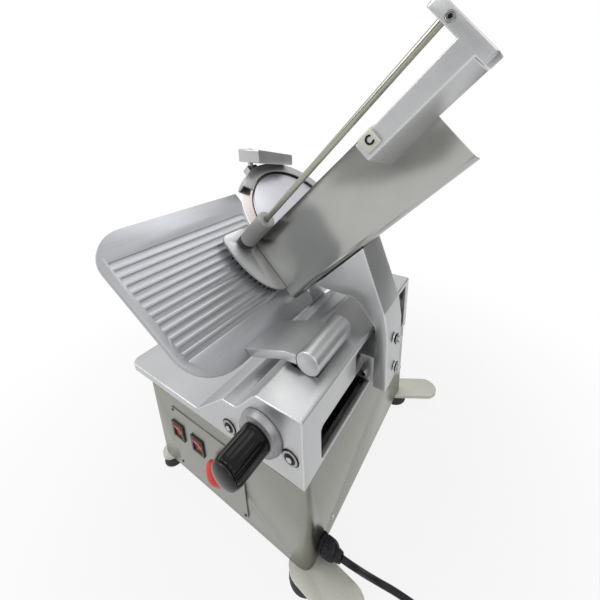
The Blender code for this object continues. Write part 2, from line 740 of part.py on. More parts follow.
def casting():
    """The cast top as one hollow shell, open underneath, with the slot that the carriage passes through."""
    low = GAP
    left = -BASE_WIDTH - DECK_OVERHANG
    outline = rounded([(left, low, 0), (left, DECK_LEFT_TOP, DECK_EDGE),
                       (DECK_LEFT_END, DECK_LEFT_TOP, CAST_ROUND),
                       (SHELF_START, SHELF_TOP, CAST_ROUND), (SHELF_END, SHELF_TOP, CAST_ROUND),
                       (DECK_START, DECK_TOP, CAST_ROUND), (0, DECK_TOP, DECK_EDGE), (0, low, 0)], 3)
    top = add("top_casting", prism(outline, "Y", 0, BASE_DEPTH), "cast")
    slope = (SHELF_TOP - DECK_LEFT_TOP) / (SHELF_START - DECK_LEFT_END)
    below = low - 2 * CAST_WALL
    core = [(DECK_LEFT_END - (DECK_LEFT_TOP - below) / slope, below), (SHELF_START, SHELF_TOP),
            (SHELF_END, SHELF_TOP), (DECK_START, DECK_TOP), (0, DECK_TOP), (0, below)]
    cut(top, "cast_hollow", prism(inset(core, CAST_WALL), "Y", CAST_WALL, BASE_DEPTH - CAST_WALL))
    corner = [(left - OVERRUN, -OVERRUN), (left + DECK_CORNER, -OVERRUN)]
    corner += arc((left + DECK_CORNER, DECK_CORNER), DECK_CORNER, 270, 180, 6)
    corner += [(left - OVERRUN, DECK_CORNER)]
    cut(top, "deck_corner", prism(corner, "Z", low - OVERRUN, DECK_LEFT_TOP + OVERRUN))
    slot = rounded([(SLOT_FRONT, SLOT_FLOOR, SLOT_ROUND), (SLOT_FRONT, SLOT_ROOF, SLOT_ROUND),
                    (SLOT_TALL_FROM, SLOT_ROOF, 0), (SLOT_TALL_FROM, SLOT_TALL_ROOF, SLOT_ROUND),
                    (SLOT_BACK, SLOT_TALL_ROOF, SLOT_ROUND), (SLOT_BACK, SLOT_FLOOR, SLOT_ROUND)])
    cut(top, "carriage_slot", prism(slot, "X", -CAST_WALL - OVERRUN, OVERRUN))
    for name, x, z, radius in rods():
        cut(top, f"{name}_seat", rod("Y", (x, z), radius + GAP, SEAT_DEPTH - OVERRUN, BASE_DEPTH - BLIND))
        cut(top, f"{name}_plug_hole", rod("Y", (x, z), PLUG_RADIUS + GAP, -OVERRUN, SEAT_DEPTH, 32))
    cut(top, "knob_hole", rod("Y", (KNOB_X, KNOB_Z), KNOB_SHAFT + GAP, -OVERRUN, CAST_WALL + OVERRUN))
    cut(top, "gauge_rod_seat", rod("X", (GAUGE_ROD_Y, GAUGE_ROD_Z), GAUGE_ROD_RADIUS + GAP,
                                   GAUGE_ROD_LEFT - GAP, BLIND - CAST_WALL))
    cut(top, "post_slot", block(BOSS_X - POST_HALF - GAUGE_TRAVEL - SLOT_PLAY,
                                BOSS_X + POST_HALF + SLOT_PLAY,
                                POST_FRONT - GAP, POST_BACK + GAP, DECK_TOP - CAST_WALL - OVERRUN,
                                DECK_TOP + OVERRUN))


def rods():
    return (("guide_rod", ROD_X, ROD_Z, ROD_RADIUS), ("side_rod", AUX_ROD_X, AUX_ROD_Z, AUX_ROD_RADIUS))


def guide_rods():
    """Two rods along Y between the end walls, each with a round head that has a hexagonal socket."""
    for name, x, z, radius in rods():
        end = BASE_DEPTH - BLIND - GAP
        head = SEAT_DEPTH - GAP
        profile = [(0, -PLUG_PROUD), (PLUG_RADIUS, -PLUG_PROUD), (PLUG_RADIUS, head), (radius, head),
                   (radius, end),
                   (0, end)]
        bar = add(name, turned(profile, "Y", (x, 0, z), 24), "steel")
        cut(bar, f"{name}_socket", rod("Y", (x, z), PLUG_SOCKET, -PLUG_PROUD - OVERRUN, PLUG_SOCKET_DEPTH,
                                       6))


def thickness_control():
    """Dial, fluted knob, cap, shaft and spiral cam, all turning about one axis."""
    place = (KNOB_X, 0, KNOB_Z)
    dial_back = -GAP
    dial_front = dial_back - DIAL_THICK
    bore = KNOB_SHAFT + GAP
    profile = [(bore, dial_back), (DIAL_RADIUS, dial_back), (DIAL_RADIUS, dial_back - DIAL_RIM),
               (DIAL_RADIUS - DIAL_SLOPE, dial_front), (bore, dial_front)]
    add("thickness_dial", turned(profile, "Y", (0, 0, 0), 44), "dial_silver", location=place)
    knob_back = dial_front - GAP
    knob_front = knob_back - KNOB_LENGTH
    knob = add("thickness_knob", rod("Y", (0, 0), KNOB_RADIUS, knob_front, knob_back, 36), "black_plastic",
               location=place)
    cut(knob, "knob_bore", rod("Y", (0, 0), bore, knob_front + KNOB_FRONT_WALL, knob_back + OVERRUN),
        location=place)
    reach = KNOB_RADIUS + KNOB_FLUTE - KNOB_FLUTE_DEPTH
    for k in range(KNOB_FLUTES):
        angle = 2 * math.pi * k / KNOB_FLUTES
        flute = rod("Y", (reach * math.cos(angle), reach * math.sin(angle)), KNOB_FLUTE,
                    knob_front - OVERRUN,
                    knob_back - KNOB_SKIRT, 8)
        cut(knob, f"knob_flute_{k}", flute, location=place)
    cap_back = knob_front - GAP
    cap = [(0, cap_back), (CAP_RADIUS, cap_back)]
    cap += [(CAP_RADIUS * math.cos(a), cap_back - CAP_EDGE - (CAP_RISE - CAP_EDGE) * math.sin(a))
            for a in (math.radians(18 * k) for k in range(5))]
    cap += [(0, cap_back - CAP_RISE)]
    add("knob_cap", turned(cap, "Y", (0, 0, 0), 28), "grey_plastic", location=place)
    shaft_front = knob_front + KNOB_FRONT_WALL + GAP
    cam_back = CAM_FRONT + CAM_THICK
    cam = add("spiral_cam", prism(cam_outline(), "Y", CAM_FRONT, cam_back), "bronze", location=place)
    join(cam, "cam_shaft", rod("Y", (0, 0), KNOB_SHAFT, shaft_front, CAM_FRONT + CAM_THICK / 2),
         location=place)


def cam_outline():
    """An even spiral over most of a turn, a quick fall and a short dwell. The pin starts on its left."""
    steps = 60
    fall = CAM_DROP
    out = []
    for i in range(steps):
        turn = 2 * math.pi * i / steps
        if turn <= CAM_TURN:
            radius = CAM_START_RADIUS + GAUGE_TRAVEL * turn / CAM_TURN
        else:
            radius = CAM_START_RADIUS + GAUGE_TRAVEL * max(0, 1 - (turn - CAM_TURN) / fall)
        angle = math.pi - turn
        out.append((radius * math.cos(angle), radius * math.sin(angle)))
    return out


def gauge_slide():
    """The block that the cam pushes along its rod, and the bracket that it carries above the deck."""
    add("gauge_rod", rod("X", (GAUGE_ROD_Y, GAUGE_ROD_Z), GAUGE_ROD_RADIUS, GAUGE_ROD_LEFT,
                         BLIND - CAST_WALL - GAP), "steel")
    carrier = add("gauge_bracket", block(GAUGE_BLOCK_LEFT, GAUGE_BLOCK_RIGHT, GAUGE_BLOCK_FRONT,
                                         GAUGE_BLOCK_BACK,
                                       GAUGE_BLOCK_LOW, GAUGE_BLOCK_TOP), "cast")
    pin_x = KNOB_X - CAM_START_RADIUS - PIN_RADIUS - CAM_PLAY
    edge = FOLLOWER_EDGE
    lever = [(pin_x - edge, KNOB_Z - edge), (GAUGE_BLOCK_LEFT + edge, KNOB_Z - edge),
             (GAUGE_BLOCK_LEFT + edge, GAUGE_BLOCK_LOW + edge), (GAUGE_BLOCK_LEFT, GAUGE_BLOCK_LOW + edge),
             (pin_x, KNOB_Z + edge), (pin_x - edge, KNOB_Z)]
    join(carrier, "follower_arm", prism(lever, "Y", GAUGE_BLOCK_FRONT, GAUGE_BLOCK_FRONT + FOLLOWER_THICK))
    join(carrier, "follower_pin", rod("Y", (pin_x, KNOB_Z), PIN_RADIUS, CAM_FRONT + GAP,
                                      GAUGE_BLOCK_FRONT + OVERRUN / 2, 16))
    post_top = DECK_TOP + BOSS_RADIUS
    join(carrier, "gauge_post", block(BOSS_X - POST_HALF, BOSS_X + POST_HALF, POST_FRONT, POST_BACK,
                                      GAUGE_BLOCK_TOP - OVERRUN, post_top))
    cut(carrier, "gauge_rod_bore", rod("X", (GAUGE_ROD_Y, GAUGE_ROD_Z), GAUGE_ROD_RADIUS + GAP,
                                       GAUGE_BLOCK_LEFT - OVERRUN, GAUGE_BLOCK_RIGHT + OVERRUN))
    boss_z = DECK_TOP + BOSS_CLEARANCE + BOSS_RADIUS
    near = PLATE_FACE + GAP
    low = food_point(near, PLATE_LOW)
    high = food_point(near, PLATE_LOW + TONGUE_REACH)
    half = BOSS_RADIUS / 2
    tongue = [high, low, (DECK_START, TONGUE_TOP - TONGUE_THICK), (BOSS_X, boss_z - half),
              (BOSS_X, boss_z + half),
              (DECK_START, TONGUE_TOP)]
    join(carrier, "bracket_tongue", prism(tongue, "Y", BOSS_FRONT + BOSS_STEP, BRACKET_BACK))
    join(carrier, "bracket_boss", rod("Y", (BOSS_X, boss_z), BOSS_RADIUS, BOSS_FRONT, BOSS_BACK, 40))


def gauge_plate():
    """The plate that the food slides down on, ribbed, with its rear edge hollowed round the blade."""
    back = PLATE_FACE - PLATE_THICK
    outline = rounded([(PLATE_FRONT, PLATE_TOP, PLATE_CORNER),
                       (PLATE_FRONT_LOW, PLATE_LOW, PLATE_LOW_CORNER),
                       (PLATE_BACK, PLATE_LOW, PLATE_END_ROUND), (PLATE_BACK, PLATE_TOP, 0)], 8)
    plate = add("gauge_plate", prism(outline, "X", back, PLATE_FACE), "stainless", food)
    cut(plate, "blade_room", rod("X", (BLADE_Y, BLADE_Z), BLADE_RADIUS + BLADE_CLEARANCE, back - OVERRUN,
                                 PLATE_FACE + OVERRUN, 80), food)
    lean = (PLATE_FRONT_LOW - PLATE_FRONT) / (PLATE_TOP - PLATE_LOW)
    half = (RIB_PITCH - RIB_TOP) / 2
    for i in range(RIB_COUNT):
        d = RIB_FIRST + RIB_PITCH * i
        front = PLATE_FRONT + lean * (PLATE_TOP - d) + RIB_MARGIN
        reach = max(0, (BLADE_RADIUS + BLADE_CLEARANCE) ** 2 - (BLADE_Z - d) ** 2) ** 0.5
        rear = min(PLATE_BACK, BLADE_Y - reach) - RIB_MARGIN / 2
        groove = rounded([(front, d - half, half * RIB_END_SHARE), (rear, d - half, half * RIB_END_SHARE),
                          (rear, d + half, half * RIB_END_SHARE), (front, d + half, half * RIB_END_SHARE)], 3)
        cut(plate, f"groove_{i}", prism(groove, "X", PLATE_FACE - RIB_DEPTH, PLATE_FACE + OVERRUN), food)


def blade():
    """Blade, hollow shaft with its hub, front cover and the long bolt that holds the cover still."""
    centre = (0, BLADE_Y, BLADE_Z)
    front = BLADE_PLANE
    back = front - BLADE_THICK
    bore = SHAFT_RADIUS + GAP
    profile = [(bore, back), (BLADE_RADIUS - BLADE_BEVEL / 2, back), (BLADE_RADIUS, back + BLADE_EDGE),
               (BLADE_RADIUS, back + 2 * BLADE_EDGE), (BLADE_RADIUS - BLADE_BEVEL, front), (bore, front)]
    add("blade", turned(profile, "X", (0, 0, 0), 72), "steel", food, centre)
    hub_front = back - GAP
    hub_back = hub_front - HUB_LENGTH
    inner = TIE_RADIUS + GAP
    shaft = [(inner, SHAFT_END), (SHAFT_RADIUS, SHAFT_END)]
    shaft += pulley_rim(BLADE_PULLEY, SHAFT_RADIUS)
    shaft += [(SHAFT_RADIUS, hub_back), (HUB_RADIUS, hub_back), (HUB_RADIUS, hub_front),
              (SHAFT_RADIUS, hub_front),
              (SHAFT_RADIUS, front), (inner, front)]
    add("blade_shaft", turned(shaft, "X", (0, 0, 0), 20), "steel", food, centre)
    cover_top = COVER_TOP
    cover_back = cover_top - COVER_THICK
    dish = [(0, cover_back), (RING_INNER - COVER_GAP, cover_back),
            (RING_INNER - COVER_GAP, cover_top - COVER_LIP),
            (RING_INNER - COVER_GAP - COVER_LIP, cover_top), (0, cover_top)]
    cover = add("blade_cover", turned(dish, "X", (0, 0, 0), 56), "stainless", food, centre)
    join(cover, "tie_bolt", rod("X", (0, 0), TIE_RADIUS, TIE_END, cover_back + COVER_THICK / 2, 20), food,
         centre)


def ring_guard():
    """A channel round the back of the blade, open towards the food, with its raised front lip."""
    back = BACKING_FRONT - BACKING_THICK
    profile = [(BACKING_INNER, back), (RING_OUTER, back), (RING_OUTER, RING_TOP - RING_ROUND),
               (RING_OUTER - RING_ROUND, RING_TOP), (RING_INNER, RING_TOP), (RING_INNER, RING_UNDER),
               (RING_OUTER - RING_WALL, RING_UNDER), (RING_OUTER - RING_WALL, BACKING_FRONT),
               (BACKING_INNER, BACKING_FRONT)]
    start = RING_FROM - RING_SWEEP + math.pi / 2
    ring = turned(profile, "X", (0, BLADE_Y, BLADE_Z), 46, RING_SWEEP, start)
    add("ring_guard", ring, "stainless", food)


def head_outline():
    corner = food_point(HEAD_FACE, HEAD_LOW)
    floor = DECK_LEFT_TOP + GAP
    return [food_point(HEAD_FACE, HEAD_HIGH), corner, (corner[0], floor), (HEAD_LEFT, floor),
            (HEAD_LEFT, HEAD_SHOULDER_Z), food_point(HEAD_BACK_SETBACK, HEAD_BACK_RISE),
            food_point(HEAD_TOP_SETBACK, HEAD_HIGH)]


def blade_head():
    """The hollow housing behind the blade, open at the rear, with a cover, a motor plate and the drive."""
    outline = head_outline()
    head = add("head_housing", prism(outline, "Y", HEAD_FRONT_Y, HEAD_REAR_Y), "cast")
    cut(head, "head_hollow", prism(inset(outline, HEAD_WALL), "Y", HEAD_FRONT_Y + HEAD_WALL,
                                   HEAD_REAR_Y + OVERRUN))
    centre = (BLADE_Y, BLADE_Z)
    inner_face = HEAD_FACE - HEAD_WALL
    seat_end = HEAD_FACE - HUB_POCKET - BEARING_LENGTH
    join(head, "bearing_boss", rod("X", centre, BEARING_RADIUS, seat_end, inner_face + HEAD_WALL / 2, 40),
         food)
    cut(head, "hub_pocket", rod("X", centre, HUB_RADIUS + HUB_CLEARANCE, HEAD_FACE - HUB_POCKET,
                                HEAD_FACE + OVERRUN, 48), food)
    cut(head, "bearing_bore", rod("X", centre, SHAFT_RADIUS + GAP, seat_end - OVERRUN,
                                  HEAD_FACE - HUB_POCKET + OVERRUN / 2, 40), food)
    add("head_rear_cover", prism(outline, "Y", HEAD_REAR_Y + GAP, HEAD_REAR_Y + GAP + HEAD_COVER),
        "stainless")
    plate_front = MOTOR_FRONT + MOTOR_PLATE
    low = MOTOR_RISE - MOTOR_PLATE_REACH
    top = BLADE_Z + MOTOR_PLATE_REACH
    plate = block(MOTOR_FRONT, plate_front, HEAD_FRONT_Y + HEAD_WALL + GAP, HEAD_REAR_Y - GAP, low, top)
    motor = add("blade_motor", plate, "motor_paint", food)
    cut(motor, "rear_bearing_bore", rod("X", centre, SHAFT_RADIUS + GAP, MOTOR_FRONT - OVERRUN,
                                        plate_front + OVERRUN), food)
    body_back = MOTOR_FRONT - MOTOR_LENGTH
    body = [(0, body_back), (MOTOR_RADIUS - FOOT_EDGE, body_back), (MOTOR_RADIUS, body_back + FOOT_EDGE),
            (MOTOR_RADIUS, MOTOR_FRONT + MOTOR_PLATE / 2), (0, MOTOR_FRONT + MOTOR_PLATE / 2)]
    join(motor, "motor_body", turned(body, "X", (0, BLADE_Y, MOTOR_RISE), 28), food)
    cut(motor, "motor_nose_hole", rod("X", (BLADE_Y, MOTOR_RISE), SHAFT_RADIUS, MOTOR_FRONT - GAP,
                                      plate_front + OVERRUN), food)
    drive_belt()


def pulley_rim(radius, shaft):
    """The profile of a flanged belt pulley on a shaft, from its back to its front."""
    back = PULLEY_FRONT - PULLEY_WIDTH
    rim = radius + PULLEY_FLANGE
    return [(shaft, back - PULLEY_FLANGE), (rim, back - PULLEY_FLANGE), (rim, back), (radius, back),
            (radius, PULLEY_FRONT), (rim, PULLEY_FRONT), (rim, PULLEY_FRONT + PULLEY_FLANGE),
            (shaft, PULLEY_FRONT + PULLEY_FLANGE)]


def drive_belt():
    """The motor's pulley and the belt that runs from it to the pulley of the blade shaft."""
    back = PULLEY_FRONT - PULLEY_WIDTH
    stub = SHAFT_RADIUS - GAP
    profile = [(0, MOTOR_FRONT), (stub, MOTOR_FRONT)] + pulley_rim(MOTOR_PULLEY, stub)[:-1]
    profile += [(0, PULLEY_FRONT + PULLEY_FLANGE)]
    add("motor_pulley", turned(profile, "X", (0, 0, 0), 16), "steel", food, (0, BLADE_Y, MOTOR_RISE))
    grip = GAP
    loops = []
    for extra in (grip + BELT_THICK, grip):
        small = MOTOR_PULLEY + extra
        large = BLADE_PULLEY + extra
        lean = math.degrees(math.asin((large - small) / (BLADE_Z - MOTOR_RISE)))
        loops.append(arc((BLADE_Y, BLADE_Z), large, -lean, 180 + lean, 20) +
                     arc((BLADE_Y, MOTOR_RISE), small, 180 + lean, 360 - lean, 12))
    add("blade_belt", band(*loops, "X", back + GAP, PULLEY_FRONT - GAP), "rubber", food)


def sharpener():
    """A box that swings about a post on the guard, with two stones in its open underside."""
    crest_x, crest_z = food_point(0, BLADE_Z + RING_OUTER)
    post_x = crest_x - SHARP_POST_SHIFT
    sharp_low = crest_z + SHARP_LIFT
    n_low = BACKING_FRONT
    mount_top = BLADE_Z + RING_OUTER + SADDLE_THICK
    saddle = add("sharpener_post", block(n_low, RING_UNDER, SHARP_POST_Y - SADDLE_HALF,
                                         SHARP_POST_Y + SADDLE_HALF,
                                         mount_top - SADDLE_DEEP, mount_top), "steel", food)
    post = rod("Z", (post_x, SHARP_POST_Y), SHARP_POST_RADIUS, sharp_low - SHARP_POST_FOOT,
               sharp_low + SHARP_HEIGHT - SHARP_TOP_FALL * SHARP_FRONT_REACH / SHARP_DEPTH + SHARP_POST_PROUD)
    join(saddle, "post", post)
    cut(saddle, "saddle_seat", rod("X", (BLADE_Y, BLADE_Z), RING_OUTER + GAP, n_low - 5 * OVERRUN,
                                   RING_TOP + 5 * OVERRUN, 96), food)
    place = (post_x, SHARP_POST_Y, sharp_low)
    x0 = post_x - SHARP_LEFT_REACH
    x1 = x0 + SHARP_LENGTH
    y1 = SHARP_FRONT + SHARP_DEPTH
    top = sharp_low + SHARP_HEIGHT
    near = SHARP_FRONT - place[1]
    far = y1 - place[1]
    outline = rounded([(near, 0, SHARP_ROUND), (far, -SHARP_LOW_FALL, SHARP_ROUND),
                       (far, SHARP_HEIGHT - SHARP_TOP_FALL, SHARP_ROUND), (near, SHARP_HEIGHT, SHARP_ROUND)])
    box = add("sharpener_box", prism(outline, "X", x0 - place[0], x1 - place[0]), "cast", location=place)
    under = sharp_low - SHARP_LOW_FALL - OVERRUN
    cut(box, "post_bore", rod("Z", place[:2], SHARP_POST_RADIUS + GAP, under, top + OVERRUN))
    room_front = SHARP_POST_Y + SHARP_POST_RADIUS + SHARP_WALL
    room_back = y1 - SHARP_WALL
    roof = [top - SHARP_WALL - SHARP_TOP_FALL * (y - SHARP_FRONT) / SHARP_DEPTH
            for y in (room_front, room_back)]
    room = [(room_front, under), (room_back, under), (room_back, roof[1]), (room_front, roof[0])]
    cut(box, "stone_room", prism(room, "X", x0 + SHARP_WALL, x1 - SHARP_WALL))
    pitch = (room_back - room_front) / 2
    for i in range(2):
        share = (i + 1 / 2) / 2
        y = room_front + pitch * (i + 1 / 2)
        axle_z = roof[0] + (roof[1] - roof[0]) * share - STONE_RADIUS - STONE_ROOM
        middle = (x0 + x1) / 2
        half = SHARP_LENGTH / 2 - SHARP_WALL / 2
        cut(box, f"axle_hole_{i}", rod("X", (y, axle_z), STONE_AXLE + GAP, middle - half, middle + half, 16))
        wheel = half - SHARP_WALL
        profile = [(0, -half + GAP), (STONE_AXLE, -half + GAP), (STONE_AXLE, -wheel / 2),
                   (STONE_RADIUS, -wheel / 2), (STONE_RADIUS, wheel / 2), (STONE_AXLE, wheel / 2), (STONE_AXLE, half - GAP),
                   (0, half - GAP)]
        add(f"stone_{i + 1}", turned(profile, "X", (0, 0, 0), 18), "stone", location=(middle, y, axle_z))


def carriage():
    """Slide block on the two rods, the arm outside the slot and the tray sheet that it carries."""
    outline = [(BLOCK_LEFT, BLOCK_LOW), (ARM_IN - GAP, BLOCK_LOW), (ARM_IN - GAP, BLOCK_TOP),
               (BLOCK_STEP, BLOCK_TOP), (BLOCK_STEP, BLOCK_MID), (BLOCK_LEFT, BLOCK_MID)]
    slide = add("slide_block", prism(outline, "Y", BLOCK_FRONT, BLOCK_BACK), "cast")
    front = BLOCK_FRONT - OVERRUN
    rear = BLOCK_BACK + OVERRUN
    cut(slide, "guide_rod_bore", rod("Y", (ROD_X, ROD_Z), ROD_RADIUS + GAP, front, rear, 32))
    cut(slide, "side_rod_bore", rod("Y", (AUX_ROD_X, AUX_ROD_Z), AUX_ROD_RADIUS + GAP, front, rear))
    lug_half = DRIVE_WIDTH / 2 + LUG_WALL
    join(slide, "belt_lug", block(DRIVE_X - lug_half, DRIVE_X + lug_half, CLAMP_FRONT, CLAMP_BACK, CLAMP_LOW,
                                  BLOCK_LOW + OVERRUN))
    run_low = DRIVE_Z + DRIVE_RADIUS + GAP
    cut(slide, "belt_groove", block(DRIVE_X - DRIVE_WIDTH / 2 - GAP, DRIVE_X + DRIVE_WIDTH / 2 + GAP,
                                    CLAMP_FRONT - OVERRUN, CLAMP_BACK + OVERRUN, run_low - GAP,
                                    run_low + DRIVE_BELT + GAP))
    under = TRAY_FLOOR - TRAY_SHEET - GAP
    shape = [(ARM_OUT, ARM_FOOT, ARM_ROUND), (ARM_OUT - ARM_TAPER, DECK_TOP, ARM_SMOOTH),
             (ARM_OUT - 4 * ARM_TAPER, ARM_SHOULDER_Z, ARM_SMOOTH), (ARM_ELBOW_X, ARM_ELBOW_Z, ARM_SMOOTH),
             (*food_point(ARM_PAD_HIGH, under), 0), (*food_point(ARM_PAD_LOW, under), 0),
             (ARM_TIP_X, ARM_CROWN_Z, 0), (ARM_CROWN_X, ARM_CROWN_Z, ARM_SMOOTH),
             (ARM_IN, DECK_TOP + ARM_CLEARANCE, ARM_SMOOTH), (ARM_IN, ARM_FOOT, 0)]
    arm = add("carriage_arm", prism(rounded(shape, 4), "Y", ARM_FRONT, ARM_BACK), "cast")
    for i, (y, z) in enumerate(ARM_BOLTS):
        face = ARM_OUT - ARM_TAPER * (z - ARM_FOOT) / (DECK_TOP - ARM_FOOT)
        join(arm, f"arm_bolt_{i}", rod("X", (y, z), ARM_BOLT_RADIUS, face - ARM_BOLT_HEAD,
                                       face + ARM_BOLT_PROUD, 20))
    tray()


def tray():
    """One bent sheet: the floor that the food rests on and the upright wall along its front."""
    floor = TRAY_FLOOR
    y0 = CARRIAGE_Y
    section = rounded([(y0, TRAY_WALL_TOP, 0), (y0, floor - TRAY_SHEET, TRAY_BEND + TRAY_SHEET),
                       (y0 + TRAY_DEPTH, floor - TRAY_SHEET, 0), (y0 + TRAY_DEPTH, floor, 0),
                       (y0 + TRAY_SHEET, floor, TRAY_BEND), (y0 + TRAY_SHEET, TRAY_WALL_TOP, 0)])
    sheet = add("tray", prism(section, "X", TRAY_LOW_END, TRAY_HIGH_END), "stainless", food)
    past = TRAY_HIGH_END + OVERRUN
    above = TRAY_WALL_TOP + OVERRUN
    fall = (TRAY_WALL_TOP - WALL_DROP - TRAY_TIP) / (TRAY_HIGH_END - WALL_SLOPE_FROM)
    slope = [(TRAY_LOW_END - OVERRUN, TRAY_WALL_TOP), (WALL_SLOPE_FROM, TRAY_WALL_TOP - WALL_DROP),
             (past, TRAY_TIP - fall * OVERRUN), (past, above), (TRAY_LOW_END - OVERRUN, above)]
    cutting = bmesh.new()
    wide = OVERRUN + TRAY_SHEET
    faces = [[cutting.verts.new((n, y, d)) for n, d in slope] for y in (y0 - OVERRUN, y0 + wide)]
    cutting.faces.new(faces[0])
    cutting.faces.new(faces[1][::-1])
    for i in range(len(slope)):
        k = (i + 1) % len(slope)
        cutting.faces.new((faces[0][k], faces[0][i], faces[1][i], faces[1][k]))
    cut(sheet, "wall_slope", cutting, food)
    bend_end = y0 + TRAY_BEND + TRAY_SHEET
    far_side = y0 + TRAY_DEPTH + OVERRUN
    corner = [(TRAY_HIGH_END, bend_end), (past, bend_end), (past, far_side),
              (TRAY_HIGH_END - TRAY_END_TAPER, far_side)]
    cut(sheet, "end_taper", prism(corner, "Z", floor - TRAY_SHEET - OVERRUN, floor + OVERRUN), food)
    ear_top = GUARD_TOP
    back = CARRIAGE_Y - GAP
    outline = [(back - GUARD_REACH * math.sin(a), ROD_PATH_Z - (ROD_PATH_Z - GUARD_LOW) * math.cos(a))
               for a in (math.radians(10 * k) for k in range(10))]
    outline += rounded([(back - GUARD_REACH, ROD_PATH_Z, 0), (back - GUARD_REACH, ear_top, GUARD_ROUND),
                        (back, ear_top, GUARD_ROUND / 2), (back, ROD_PATH_Z, 0)])[1:]
    guard = add("hand_guard", prism(outline, "X", GUARD_NEAR, GUARD_NEAR + GUARD_THICK), "stainless", food)
    cut(guard, "rod_ear", rod("X", (ROD_PATH_Y, ROD_PATH_Z), PUSH_ROD_RADIUS + GAP, GUARD_NEAR - OVERRUN,
                              GUARD_NEAR + GUARD_THICK + OVERRUN), food)
    add("pusher_rod", rod("X", (ROD_PATH_Y, ROD_PATH_Z), PUSH_ROD_RADIUS, GUARD_NEAR + GAP,
                          BRACKET_TO - OVERRUN),
        "steel", food)
    face = back - BRACKET_REACH
    section = [(back, BRACKET_LOW), (face, BRACKET_FACE_LOW), (face, BRACKET_FACE_HIGH),
               (back, BRACKET_HIGH)]
    body = add("rod_bracket", prism(section, "X", BRACKET_FROM, BRACKET_TO - BRACKET_LEG / 2), "cast", food)
    leg = rounded([(back, BRACKET_LOW, 0), (face, BRACKET_LOW, BRACKET_ROUND),
                   (face, LEG_TOP, BRACKET_ROUND),
                   (back, LEG_TOP, BRACKET_ROUND)])
    join(body, "bracket_leg", prism(leg, "X", BRACKET_TO - BRACKET_LEG, BRACKET_TO), food)
    cut(body, "bracket_bore", rod("X", (ROD_PATH_Y, ROD_PATH_Z), PUSH_ROD_RADIUS + GAP,
                                  BRACKET_TO - BRACKET_LEG - OVERRUN, BRACKET_TO - OVERRUN + GAP), food)


def pusher():
    """Sleeve on the rod, its dark end ring, the arm over the wall and the spiked plate."""
    end = SLEEVE_FROM + SLEEVE_LENGTH
    centre = (ROD_PATH_Y, ROD_PATH_Z)
    bore = PUSH_ROD_RADIUS + GAP
    place = (0, *centre)
    ring = [(bore, SLEEVE_FROM), (SLEEVE_RADIUS - RING_ROUND / 2, SLEEVE_FROM),
            (SLEEVE_RADIUS, SLEEVE_FROM + RING_ROUND / 2), (SLEEVE_RADIUS, SLEEVE_FROM + SLEEVE_COLLAR),
            (bore, SLEEVE_FROM + SLEEVE_COLLAR)]
    add("sleeve_collar", turned(ring, "X", (0, 0, 0), 28), "black_plastic", food, place)
    start = SLEEVE_FROM + SLEEVE_COLLAR + GAP
    tube = [(bore, start), (SLEEVE_RADIUS, start), (SLEEVE_RADIUS, end - RING_ROUND / 2),
            (SLEEVE_RADIUS - RING_ROUND / 2, end), (bore, end)]
    sleeve = add("pusher_sleeve", turned(tube, "X", (0, 0, 0), 28), "cast", food, place)
    wall = CARRIAGE_Y + TRAY_SHEET
    arm_low = TRAY_WALL_TOP + ARM_OVER_WALL
    inner = wall + PRESS_GAP
    join(sleeve, "pusher_arm", block(PRESS_FROM, PRESS_FROM + PRESS_ARM, ROD_PATH_Y + bore + GAP,
                                     inner + PRESS_ARM,
                                     arm_low, arm_low + PRESS_ARM_HEIGHT), food)
    cut(sleeve, "sleeve_bore", rod("X", centre, bore, SLEEVE_FROM, end + OVERRUN), food)
    top = arm_low - GAP
    outline = rounded([(inner, PRESS_LOW, PRESS_ROUND), (inner + PRESS_WIDTH, PRESS_LOW, PRESS_ROUND),
                       (inner + PRESS_WIDTH, PRESS_TOP, PRESS_ROUND), (inner + 2 * PRESS_ARM, PRESS_TOP, 0),
                       (inner + PRESS_ARM, top, 0), (inner, top, 0)], 5)
    plate = add("presser_plate", prism(outline, "X", PRESS_FROM, PRESS_FROM + PRESS_THICK), "cast", food)
    for row in range(SPIKE_ROWS):
        for column in range(SPIKE_COLUMNS):
            y = inner + PRESS_WIDTH * (column + 1) / (SPIKE_COLUMNS + 1)
            d = PRESS_LOW + (PRESS_TOP - PRESS_LOW) * (row + 1) / (SPIKE_ROWS + 1)
            spike = rod("X", (y, d), 0, PRESS_FROM - SPIKE_LENGTH, PRESS_FROM + PRESS_THICK / 2, 8,
                        top_radius=SPIKE_RADIUS)
            join(plate, f"spike_{row}_{column}", spike, food)


